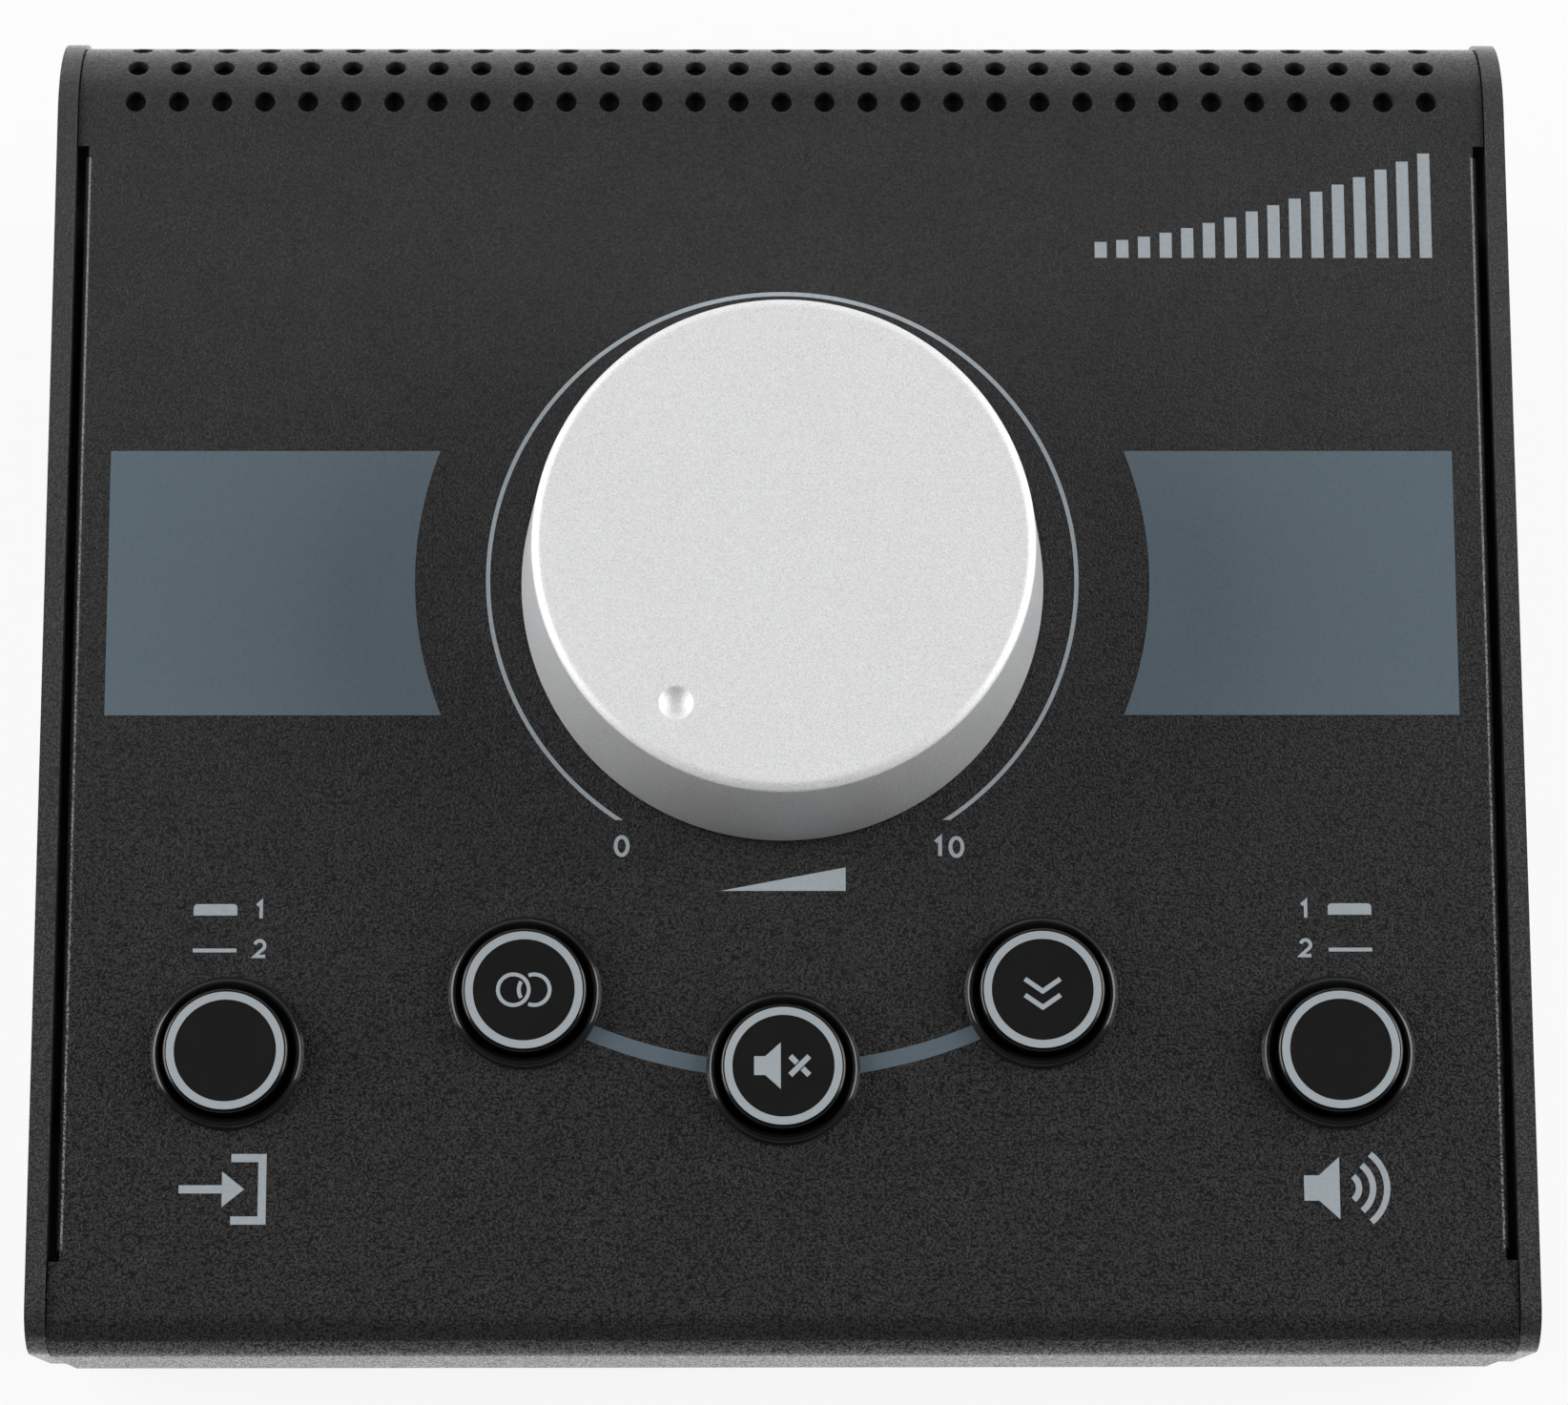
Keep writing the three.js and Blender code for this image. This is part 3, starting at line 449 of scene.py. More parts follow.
def carve(thing: bpy.types.Object, cutter: bpy.types.Object, smooth_angle: float = SHARP_ANGLE) -> None:
    """Cuts one solid out of another and removes the cutter.

    Args:
        thing: The piece that is cut.
        cutter: The solid that is taken out.
        smooth_angle: As in Draft.object.
    """
    cut = thing.modifiers.new("cut", "BOOLEAN")
    cut.operation = "DIFFERENCE"
    cut.solver = "EXACT"
    cut.object = cutter
    graph = bpy.context.evaluated_depsgraph_get()
    result = bpy.data.meshes.new_from_object(thing.evaluated_get(graph))
    thing.modifiers.clear()
    thing.data = result
    work = bmesh.new()
    work.from_mesh(result)
    bmesh.ops.dissolve_degenerate(work, dist=SLIVER, edges=work.edges)
    bmesh.ops.triangulate(work, faces=[face for face in work.faces if len(face.verts) > 4])
    work.to_mesh(result)
    work.free()
    bpy.data.objects.remove(cutter)
    smooth(thing, smooth_angle)


def softened(thing: bpy.types.Object, width: float) -> None:
    """Rounds an object's sharp edges, before its other modifiers.

    Args:
        thing: The object.
        width: The rounding's size, in millimetres.
    """
    bevel = thing.modifiers.new("edges", "BEVEL")
    bevel.width = width * MILLIMETRE
    bevel.segments = BEVEL_FACETS
    bevel.limit_method = "ANGLE"
    bevel.angle_limit = math.radians(BEVEL_ANGLE)
    bevel.harden_normals = True
    thing.modifiers.move(len(thing.modifiers) - 1, 0)


# Shader maths

class Wire:
    """A shader value that Python's operators work on by adding Math nodes."""

    def __init__(self, board: "Board", socket: bpy.types.NodeSocket) -> None:
        """Wraps an output socket of a board."""
        self.board = board
        self.socket = socket

    def _math(self, operation: str, *values: Union["Wire", Number]) -> "Wire":
        """Adds a Math node.

        Args:
            operation: The node's operation.
            values: Its inputs.

        Returns:
            Its output.
        """
        node = self.board.node("ShaderNodeMath", {"operation": operation}, dict(enumerate(values)))
        return Wire(self.board, node.outputs[0])

    def __add__(self, other: Union["Wire", Number]) -> "Wire":
        """Sum."""
        return self._math("ADD", self, other)

    __radd__ = __add__

    def __sub__(self, other: Union["Wire", Number]) -> "Wire":
        """Difference."""
        return self._math("SUBTRACT", self, other)

    def __rsub__(self, other: Number) -> "Wire":
        """Difference from a number."""
        return self._math("SUBTRACT", other, self)

    def __mul__(self, other: Union["Wire", Number]) -> "Wire":
        """Product."""
        return self._math("MULTIPLY", self, other)

    __rmul__ = __mul__

    def larger(self, other: Union["Wire", Number]) -> "Wire":
        """The larger of two values."""
        return self._math("MAXIMUM", self, other)

    def swing(self, strength: Number) -> "Wire":
        """A noise's distance from its middle, times a strength."""
        return (self - 0.5) * strength

    def ramp(self, low: float, high: float) -> "Wire":
        """A soft step.

        Args:
            low: Where the step starts.
            high: Where it ends.

        Returns:
            0 below low, 1 above high and a smooth curve between.
        """
        settings = {"interpolation_type": "SMOOTHSTEP"}
        inputs = {"Value": self, "From Min": low, "From Max": high}
        return Wire(self.board, self.board.node("ShaderNodeMapRange", settings, inputs).outputs[0])


class Board:
    """A material's or world's node tree."""

    def __init__(self, tree: bpy.types.NodeTree) -> None:
        """Clears a tree to build in."""
        self.tree = tree
        tree.nodes.clear()

    def node(self, kind: str, settings: dict, inputs: dict) -> bpy.types.Node:
        """Adds a node, sets it up and fills its sockets.

        Args:
            kind: The node's type.
            settings: Its properties.
            inputs: Values, Wires or output sockets, by input name or number.

        Returns:
            The node.
        """
        made = self.tree.nodes.new(kind)
        for name, value in settings.items():
            setattr(made, name, value)
        for name, value in inputs.items():
            if isinstance(value, Wire):
                value = value.socket
            if isinstance(value, bpy.types.NodeSocket):
                self.tree.links.new(value, made.inputs[name])
            else:
                made.inputs[name].default_value = value
        return made

    def wire(self, kind: str, settings: dict, inputs: dict, output: Union[int, str] = 0) -> Wire:
        """Adds a node and returns one of its outputs."""
        return Wire(self, self.node(kind, settings, inputs).outputs[output])

    def place(self) -> Wire:
        """The surface's place in the row frame, in millimetres."""
        metres = self.wire("ShaderNodeTexCoord", {}, {}, "Object")
        inputs = {0: metres, "Scale": 1 / MILLIMETRE}
        return self.wire("ShaderNodeVectorMath", {"operation": "SCALE"}, inputs)

    def rays(self, *kinds: str) -> Wire:
        """1 where the ray is of one of the kinds, such as Camera."""
        paths = self.node("ShaderNodeLightPath", {}, {})
        seen = Wire(self, paths.outputs[f"Is {kinds[0]} Ray"])
        for kind in kinds[1:]:
            seen = seen.larger(Wire(self, paths.outputs[f"Is {kind} Ray"]))
        return seen

    def noise(self, place: Wire, scale: float, detail: float = 2.0, roughness: float = 0.5) -> Wire:
        """Soft noise.

        Args:
            place: Where it is read, in millimetres.
            scale: Features per millimetre.
            detail: How many finer layers it has.
            roughness: How strong the finer layers are.

        Returns:
            A value about 0.5.
        """
        inputs = {"Vector": place, "Scale": scale, "Detail": detail, "Roughness": roughness}
        return self.wire("ShaderNodeTexNoise", {}, inputs)

    def blend(self, factor: Union[Wire, Number], first: Union[Wire, Colour],
              second: Union[Wire, Colour]) -> Wire:
        """Mixes two colours.

        Args:
            factor: 0 gives the first, 1 the second.
            first: A colour.
            second: A colour.

        Returns:
            The mixed colour.
        """
        sides = [side if isinstance(side, Wire) else (*side, 1.0) for side in (first, second)]
        inputs = {"Factor": factor, 6: sides[0], 7: sides[1]}
        return self.wire("ShaderNodeMix", {"data_type": "RGBA"}, inputs, 2)

    def bump(self, height: Wire, depth: float) -> Wire:
        """Relief from a height between 0 and 1, where 1 stands for a depth in millimetres."""
        return self.wire("ShaderNodeBump", {}, {"Height": height, "Distance": depth * MILLIMETRE,
                                                "Strength": 1.0})

    def shader(self, inputs: dict) -> None:
        """Adds the surface shader with its inputs and links it to the output."""
        made = self.node("ShaderNodeBsdfPrincipled", {}, inputs)
        self.node("ShaderNodeOutputMaterial", {}, {"Surface": made.outputs[0]})


# Finishes

_made: dict[str, bpy.types.Material] = {}


@dataclass(frozen=True)
class Finish:
    """A surface finish that builds its own material once."""

    name: str

    def material(self) -> bpy.types.Material:
        """The finish's material."""
        if self.name not in _made:
            made = bpy.data.materials.new(self.name)
            made.use_nodes = True
            self.build(Board(made.node_tree))
            _made[self.name] = made
        return _made[self.name]

    def build(self, board: Board) -> None:
        """Builds the nodes of the finish."""
        raise NotImplementedError


def scaled(tone: Colour, factor: float) -> Colour:
    """A colour made lighter or darker."""
    return tuple(part * factor for part in tone)


@dataclass(frozen=True)
class PowderCoat(Finish):
    """Fine-textured powder coat: grains and dark pits, with painted shade that makes the pits denser and darker
    toward the front.
    """

    ground: Colour = (0.031, 0.0312, 0.0315)
    # How strong the painted shade makes the pits at the rear and at the front.
    front_shade_depths: Flat = (0.5, 1.0)
    pit: Colour = (0.0006, 0.0006, 0.0007)
    grain: float = 3.7
    coarser: float = 0.5
    cloudier: float = 30.0
    coarse_share: float = 0.2
    grain_steps: Flat = (0.36, 0.68)
    pit_steps: Flat = (0.39, 0.46)
    cloud_steps: Flat = (0.3, 0.7)
    lighter: float = 1.14
    roughness: float = 0.38
    pit_roughness: float = 0.25
    relief: float = 0.24
    specular: float = 0.22
    gloss: float = 0.13
    gloss_loss: float = 0.9
    # Along y in millimetres: the painted shade is at its front strength before front and at its rear strength past
    # rear.
    front: float = -60.0
    rear: float = 66.0

    def build(self, board: Board) -> None:
        """Grains and pits from one noise, over slow changes of tone, with painted shade that strengthens the pits
        toward the front.
        """
        place = board.place()
        grain = board.noise(place, self.grain, 1.0)
        coarse = board.noise(place, self.grain * self.coarser)
        clouds = board.noise(place, self.grain / self.cloudier)
        along = Wire(board, board.node("ShaderNodeSeparateXYZ", {}, {0: place}).outputs["Y"])
        rear_shade, front_shade = self.front_shade_depths
        # Painted shade: the dark pits, and the roughness and lost coat that go with them, weigh more toward the
        # front and less toward the rear.
        depth = front_shade - along.ramp(self.front, self.rear) * (front_shade - rear_shade)
        texture = grain * (1 - self.coarse_share) + coarse * self.coarse_share
        pits = 1 - coarse.ramp(*self.pit_steps)
        seen = (1 - texture.ramp(*self.grain_steps)).larger(pits) * depth
        lighter = scaled(self.ground, self.lighter)
        ground = board.blend(clouds.ramp(*self.cloud_steps), self.ground, lighter)
        board.shader({
            "Base Color": board.blend(seen, ground, self.pit),
            "Roughness": self.roughness + seen * self.pit_roughness,
            "Normal": board.bump(texture, self.relief),
            "Specular IOR Level": self.specular,
            "Coat Weight": 1 - seen * self.gloss_loss,
            "Coat Roughness": self.gloss,
        })


@dataclass(frozen=True)
class BlastedAluminium(Finish):
    """Bead-blasted and anodised aluminium."""

    tone: Colour = (0.9, 0.905, 0.91)
    metallic: float = 0.95
    roughness: float = 0.5
    relief: float = 0.05
    shade: float = 0.8
    grain: float = 5.0
    clouds: float = 0.05
    grain_steps: Flat = (0.3, 0.62)
    grain_wear: float = 0.2
    cloud_wear: float = 0.04

    def build(self, board: Board) -> None:
        """Fine even grain with a slow change of tone."""
        place = board.place()
        grain = board.noise(place, self.grain, 2.0, 0.7)
        clouds = board.noise(place, self.clouds, 1.0)
        darker = scaled(self.tone, self.shade)
        board.shader({
            "Base Color": board.blend(grain.ramp(*self.grain_steps), darker, self.tone),
            "Metallic": self.metallic,
            "Roughness": self.roughness + grain.swing(self.grain_wear) + clouds.swing(self.cloud_wear),
            "Normal": board.bump(grain, self.relief),
        })


@dataclass(frozen=True)
class Moulded(Finish):
    """Moulded plastic or rubber, from glossy to matt."""

    tone: Colour
    roughness: float
    grain: float = 2.5
    relief: float = 0.006
    specular: float = 0.5
    coarser: float = 12.0
    wear_steps: Flat = (0.35, 0.75)
    lighter: float = 1.25
    dust: float = 0.0006
    grain_wear: float = 0.08
    tone_wear: float = 0.06

    def build(self, board: Board) -> None:
        """A faint moulding grain with fine wear in its roughness."""
        place = board.place()
        grain = board.noise(place, self.grain, 3.0, 0.55)
        wear = board.noise(place, self.grain / self.coarser, 3.0, 0.6)
        lighter = tuple(part + self.dust for part in scaled(self.tone, self.lighter))
        board.shader({
            "Base Color": board.blend(wear.ramp(*self.wear_steps), self.tone, lighter),
            "Roughness": self.roughness + grain.swing(self.grain_wear) + wear.swing(self.tone_wear),
            "Normal": board.bump(grain, self.relief),
            "Specular IOR Level": self.specular,
        })


@dataclass(frozen=True)
class Plated(Finish):
    """Plated or blackened metal with fine turning marks."""

    tone: Colour
    roughness: float
    metallic: float = 1.0
    dullness: float = 0.7
    relief: float = 0.004
    grain: float = 4.0
    clouds: float = 0.35
    tarnish_steps: Flat = (0.45, 0.8)
    grain_wear: float = 0.1
    tarnish_wear: float = 0.2

    def build(self, board: Board) -> None:
        """Fine streaks across the surface and a little tarnish."""
        place = board.place()
        grain = board.noise(place, self.grain, 2.0, 0.6)
        tarnish = board.noise(place, self.clouds, 3.0, 0.6)
        duller = scaled(self.tone, self.dullness)
        board.shader({
            "Base Color": board.blend(tarnish.ramp(*self.tarnish_steps), self.tone, duller),
            "Metallic": self.metallic,
            "Roughness": self.roughness + tarnish.swing(self.tarnish_wear) + grain.swing(self.grain_wear),
            "Normal": board.bump(grain, self.relief),
        })


@dataclass(frozen=True)
class Ink(Finish):
    """Screen-printed ink that lets the coat's texture through."""

    tone: Colour
    roughness: float = 0.55
    grain: float = 1.9
    relief: float = 0.02
    mottle: float = 0.9
    grain_steps: Flat = (0.3, 0.6)
    grain_wear: float = 0.1

    def build(self, board: Board) -> None:
        """The coat's grain under a thin even layer of colour."""
        place = board.place()
        grain = board.noise(place, self.grain, 3.0, 0.62)
        darker = scaled(self.tone, self.mottle)
        board.shader({
            "Base Color": board.blend(grain.ramp(*self.grain_steps), darker, self.tone),
            "Roughness": self.roughness + grain.swing(self.grain_wear),
            "Normal": board.bump(grain, self.relief),
        })


@dataclass(frozen=True)
class CircuitBoard(Finish):
    """Solder mask over a woven board."""

    tone: Colour = (0.016, 0.11, 0.04)
    weave: float = 1.2
    roughness: float = 0.35
    relief: float = 0.01
    lighter: float = 1.5
    weave_steps: Flat = (0.4, 0.7)
    weave_wear: float = 0.2

    def build(self, board: Board) -> None:
        """A weave's faint squares under the mask."""
        place = board.place()
        weave = board.noise(place, self.weave, 4.0, 0.7)
        lighter = scaled(self.tone, self.lighter)
        board.shader({
            "Base Color": board.blend(weave.ramp(*self.weave_steps), self.tone, lighter),
            "Roughness": self.roughness + weave.swing(self.weave_wear),
            "Normal": board.bump(weave, self.relief),
        })


class Coat(Enum):
    """The finishes of the controller."""

    # The case coat carries the painted shade toward the front.
    CASE = PowderCoat("case_powder_coat")
    # A lighter copy of the case coat with weaker pits: painted light for the brighter tone the side plates catch.
    PLATE_LIT = PowderCoat("plate_lit_powder_coat", ground=(0.05, 0.0503, 0.0508), front_shade_depths=(0.4, 0.75))
    # Near-black walls of the vents: painted shade for the dark inside of the holes.
    VENT_WALL_PAINTED_SHADE = Moulded("vent_wall_painted_shade", (0.0012, 0.0012, 0.0013), 0.8)
    # Two copies of the same blasted aluminium, painted light and shade: a lighter, less metallic one for the
    # dial's top and a darker, more metallic one for its side.
    DIAL_TOP_LIT = BlastedAluminium("dial_top_lit_aluminium", (0.98, 0.985, 0.985), 0.5, 0.6)
    DIAL_SIDE_SHADED = BlastedAluminium("dial_side_shaded_aluminium", (0.86, 0.865, 0.87), 0.8, 0.46, 0.25)
    BEZEL = Moulded("bezel_gloss", (0.0085, 0.009, 0.009), 0.12)
    CAP = Moulded("cap_gloss", (0.003, 0.0032, 0.0034), 0.16)
    # A near-black sheet behind the vents: painted shade that keeps the vents dark.
    VENT_SHADE_SHEET = Moulded("vent_shade_sheet", (0.003, 0.003, 0.0031), 0.95, 3.0, 0.05)
    CAP_FACE = Moulded("cap_matt_face", (0.0026, 0.0028, 0.0027), 0.6, 3.5, 0.03, 0.2)
    INK = Ink("ink_light_grey", (0.37, 0.41, 0.44))
    CAP_INK = Ink("ink_cap_grey", (0.38, 0.42, 0.45), 0.5, 2.5, 0.006, 0.97)
    BLUE_INK = Ink("ink_blue_grey", (0.108, 0.147, 0.18))
    RUBBER = Moulded("foot_rubber", (0.008, 0.008, 0.0085), 0.85, 1.5, 0.03)
    SOCKET = Moulded("socket_plastic", (0.01, 0.01, 0.0105), 0.5)
    NYLON = Moulded("switch_nylon", (0.72, 0.7, 0.63), 0.5)
    CABLE = Moulded("cable_grey", (0.25, 0.26, 0.28), 0.55)
    STEEL = Plated("nickel_plate", (0.62, 0.61, 0.58), 0.28)
    BLACK_STEEL = Plated("black_oxide", (0.03, 0.031, 0.033), 0.42, 0.8)
    BOARD = CircuitBoard("green_board")


def dress(thing: bpy.types.Object, *coats: Coat) -> bpy.types.Object:
    """Gives an object its materials, in the order of its faces' material places, and returns it."""
    for coat in coats:
        thing.data.materials.append(coat.value.material())
    return thing


class Part:
    """A finished piece: a mesh that rides on a body and may stand for CAD nodes."""

    def __init__(self, thing: bpy.types.Object, body: str, slot: str, nodes: Sequence[str] = ()) -> None:
        """Fixes the piece to the frame.

        Args:
            thing: The mesh object.
            body: The CAD body that it rides on.
            slot: The record's material slot; not used.
            nodes: The CAD nodes that it stands for.
        """
        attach(thing, body)
        if nodes:
            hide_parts(*nodes)
        log.info("%s rides on %s, %d faces", thing.name, body, len(thing.data.polygons))


# Case

@dataclass
class Cover:
    """The bent sheet cover with its vents, bent side edges and relief notches."""

    thickness: float = 1.2
    front_bend: float = 5.45
    roll_radius: float = 12.5
    rear_lip: float = 5.0
    edge_bend: float = 1.4
    edge_depth: float = 6.0
    edge_front: float = -88.6
    edge_rear: float = 58.1
    edge_inset: float = 0.82
    seam_fill: float = 0.12
    notch_length: float = 1.5
    notch_depth: float = 0.65
    vent_radius: float = 1.4
    vent_pitch: Flat = (5.807, 5.81)
    vent_counts: tuple[int, int] = (31, 4)
    first_vent: float = 1.58
    vent_stretch: float = 1.05
    vent_edge: float = 0.07
    vent_flat: float = 6.0
    vent_rounding: float = 0.29
    cell_steps: int = 6
    bend_steps: int = 12
    hole_sides: int = 64
    hole_gap: float = 0.3
    shaft_hole: float = 4.8
    stud_radius: float = 2.5
    stud_inset: float = 6.0
    stud_sides: int = 24
    slope: float = field(init=False)
    half_width: float = field(init=False)
    front: float = field(init=False)
    face_height: float = field(init=False)
    roll_start: float = field(init=False)

    def __post_init__(self) -> None:
        """Reads the cover's outer sizes from the frame."""
        low, high = PANEL.box("top_cover")
        self.half_width = high.x + self.seam_fill
        self.front = low.y
        self.roll_start = high.y - self.roll_radius
        axis = PANEL.turn @ Vector((0, 0, 1))
        self.slope = math.atan2(-axis.y, axis.z)
        floor_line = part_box("top_cover")[0].z / MILLIMETRE
        origin = PANEL.matrix.translation / MILLIMETRE
        drop = origin.z + self.front * math.sin(self.slope) - floor_line
        self.face_height = drop / math.cos(self.slope)

    @property
    def flange_face(self) -> float:
        """The outer face of the bent side edges."""
        return self.half_width - self.edge_inset

    @property
    def bend_line(self) -> float:
        """Where the side bends start."""
        return self.flange_face - self.edge_bend

    @property
    def roll_length(self) -> float:
        """The roll's length along the outer face."""
        return self.roll_radius * (QUARTER + self.slope)

    def along(self, reach: float, depth: float) -> Flat:
        """A point of the sheet behind the panel's flat.

        Args:
            reach: Distance along the sheet past the start of the rear roll.
            depth: Distance into the sheet.

        Returns:
            The point's y and z.
        """
        if reach <= 0:
            return self.roll_start + reach, -depth
        turn = min(reach, self.roll_length) / self.roll_radius
        radius = self.roll_radius - depth
        past = max(0.0, reach - self.roll_length)
        y = self.roll_start + radius * math.sin(turn) + past * math.cos(turn)
        z = -self.roll_radius + radius * math.cos(turn) - past * math.sin(turn)
        return y, z

    def build(self) -> bpy.types.Object:
        """Draws the whole sheet as one closed skin.

        Returns:
            The cover.
        """
        skin = SheetSkin(PANEL)
        self._front(skin)
        self._vent_band(skin)
        self._rear_lip(skin)
        for side in (-1, 1):
            self._side_edge(skin, side)
        self._panel(skin)
        draft = skin.draft()
        self._studs(draft)
        # The second material is the painted shade on the vents' walls.
        return dress(draft.object("cover", SHEET_ANGLE), Coat.CASE, Coat.VENT_WALL_PAINTED_SHADE)

    def _front(self, skin: SheetSkin) -> None:
        """The front face and its bend up to the panel."""
        centre = (self.front + self.front_bend, -self.front_bend)
        outer, inner = (arc(centre, radius, math.pi, QUARTER, self.bend_steps)
                        for radius in (self.front_bend, self.front_bend - self.thickness))
        foot = -self.face_height
        outer.insert(0, (self.front, foot))
        inner.insert(0, (self.front + self.thickness, foot))
        skin.strip([[skin.add((x, *out), (x, *back)) for x in (-self.half_width, self.half_width)]
                    for out, back in zip(outer, inner)])

    def _sheet_point(self, skin: SheetSkin, x: float, reach: float, depth: float = 0.0) -> int:
        """A point of the rear roll, some way into the sheet."""
        y, z = self.along(reach, depth)
        inner_y, inner_z = self.along(reach, self.thickness)
        return skin.add((x, y, z), (x, inner_y, inner_z))

    def _sheet_face(self, skin: SheetSkin, across: Flat, along: Flat) -> None:
        """A plain face of the roll, from its borders across and along the sheet."""
        (near, far), (first, second) = across, along
        skin.face(*[self._sheet_point(skin, x, reach) for x, reach in
                    ((near, first), (far, first), (far, second), (near, second))])

    def _cell_lines(self) -> tuple[list[float], list[float]]:
        """The borders of the vent cells, across and along the sheet."""
        columns, rows = self.vent_counts
        across = [(column - columns / 2) * self.vent_pitch[0] for column in range(columns + 1)]
        along = [self.first_vent + (row - 0.5) * self.vent_pitch[1] for row in range(rows + 1)]
        return across, along

    def _vent_band(self, skin: SheetSkin) -> None:
        """The rows of vents with the plain strips beside them."""
        across, along = self._cell_lines()
        for low, high in zip(along, along[1:]):
            for left, right in zip(across, across[1:]):
                self._vent_cell(skin, left, right, low, high)
            steps = spread(low, high, self.cell_steps)
            for stretch in zip(steps, steps[1:]):
                self._sheet_face(skin, (-self.half_width, across[0]), stretch)
                self._sheet_face(skin, (across[-1], self.half_width), stretch)

    def _vent_cell(self, skin: SheetSkin, left: float, right: float, low: float, high: float) -> None:
        """One vent in its cell, with a softened rim."""
        middle = ((left + right) / 2, (low + high) / 2)
        shares = [step / self.cell_steps for step in range(self.cell_steps)]
        corners = [(left, low), (right, low), (right, high), (left, high)]
        border = [(x + (next_x - x) * share, y + (next_y - y) * share)
                  for (x, y), (next_x, next_y) in zip(corners, corners[1:] + corners[:1])
                  for share in shares]
        count = len(border)
        turns = [turn - 3 * math.pi / 4 for turn in directions(count)]
        rings = [[self._sheet_point(skin, x, reach) for x, reach in border]]
        rim, rounding = self.vent_edge, self.vent_edge * self.vent_rounding
        circles = [(self.vent_radius + rim * self.vent_flat, 0.0), (self.vent_radius + rim, 0.0),
                   (self.vent_radius + rounding, rounding), (self.vent_radius, rim)]
        for radius, depth in circles:
            tall = radius * self.vent_stretch
            rings.append([self._sheet_point(skin, middle[0] + radius * math.cos(turn),
                                            middle[1] + tall * math.sin(turn), depth) for turn in turns])
        for outer, inner in zip(rings, rings[1:]):
            for index in range(count):
                after = (index + 1) % count
                skin.face(outer[index], outer[after], inner[after], inner[index])
        skin.hole_points.update(rings[-1])

    def _rear_lip(self, skin: SheetSkin) -> None:
        """The plain end of the roll and the lip under it."""
        start = self._cell_lines()[1][-1]
        end = self.roll_length
        reaches = [*spread(start, end, self.bend_steps // 4), end + self.rear_lip]
        skin.face(*[self._sheet_point(skin, x, start) for x in self._band_points()],
                  *[self._sheet_point(skin, x, reaches[1]) for x in (self.half_width, -self.half_width)])
        for stretch in zip(reaches[1:], reaches[2:]):
            self._sheet_face(skin, (-self.half_width, self.half_width), stretch)

    def _band_points(self) -> list[float]:
        """Places across the sheet where the vent cells' borders have points."""
        across, _ = self._cell_lines()
        inside = [x for left, right in zip(across, across[1:])
                  for x in spread(left, right, self.cell_steps)[:-1]]
        return [-self.half_width, *inside, across[-1], self.half_width]

    def _side_edge(self, skin: SheetSkin, side: int) -> None:
        """One bent-down side edge."""
        centre = (self.bend_line, -self.edge_bend)
        outer, inner = (arc(centre, radius, QUARTER, 0.0, self.bend_steps)
                        for radius in (self.edge_bend, self.edge_bend - self.thickness))
        outer.append((self.flange_face, -self.edge_depth))
        inner.append((self.flange_face - self.thickness, -self.edge_depth))
        skin.strip([[skin.add((side * x, y, z), (side * inner_x, y, inner_z))
                     for y in (self.edge_front, self.edge_rear)]
                    for (x, z), (inner_x, inner_z) in zip(outer, inner)])

    def _panel(self, skin: SheetSkin) -> None:
        """The flat panel with its notches and the holes for the controls."""
        notch = self.flange_face - self.notch_depth
        front = self.front + self.front_bend
        notch_front = self.edge_front - self.notch_length
        notch_rear = self.edge_rear + self.notch_length
        rear = self.roll_start + self._cell_lines()[1][0]
        right = [(self.half_width, front), (self.half_width, notch_front), (notch, notch_front),
                 (notch, self.edge_front), (self.bend_line, self.edge_front),
                 (self.bend_line, self.edge_rear), (notch, self.edge_rear), (notch, notch_rear),
                 (self.half_width, notch_rear)]
        left = [(-x, y) for x, y in reversed(right)]
        back = [(x, rear) for x in reversed(self._band_points())]
        hole = Buttons.sleeve_radius() + self.hole_gap
        loops = [right + back + left]
        for button in Buttons.places().values():
            loops.append(circle((button.x, button.y), hole, self.hole_sides))
        loops.append(circle(DIAL_AXIS, self.shaft_hole, self.hole_sides))
        skin.flat_face(loops, lambda x, y: ((x, y, 0), (x, y, -self.thickness)))

    def _studs(self, draft: Draft) -> None:
        """The studs that the control board stands on."""
        low, high = PANEL.box("control_board")
        top = high.z + self.hole_gap
        places = Buttons.places()
        reach = (places["monitor"].x + places["dim"].x) / 2
        profile = [(0, -self.thickness), (self.stud_radius, -self.thickness),
                   (self.stud_radius, top), (0, top)]
        inset = self.stud_inset
        for x, y in ((reach, low.y + inset), (high.x - inset, high.y - inset)):
            for side in (-1, 1):
                draft.revolve(profile, self.stud_sides, (side * x, y))


@dataclass
class VentShadeSheet:
    """A thin dark sheet of painted shade that lies behind the vents and follows the roll, so the vents show dark.
    """

    depth: float = 1.5
    thickness: float = 0.4
    inset: float = 3.0
    start: float = -3.0
    end: float = 21.3
    steps: int = 24

    def build(self) -> bpy.types.Object:
        """Draws the dark sheet.

        Returns:
            The dark sheet.
        """
        cover = Cover()
        edge = cover.half_width - self.inset
        skin = SheetSkin(PANEL)
        rows = []
        for reach in spread(self.start, self.end, self.steps):
            outer, inner = (cover.along(reach, self.depth + part) for part in (0, self.thickness))
            rows.append([skin.add((x, *outer), (x, *inner)) for x in (-edge, edge)])
        skin.strip(rows)
        return dress(skin.draft().object("vent_shade_sheet", TURNED_ANGLE), Coat.VENT_SHADE_SHEET)


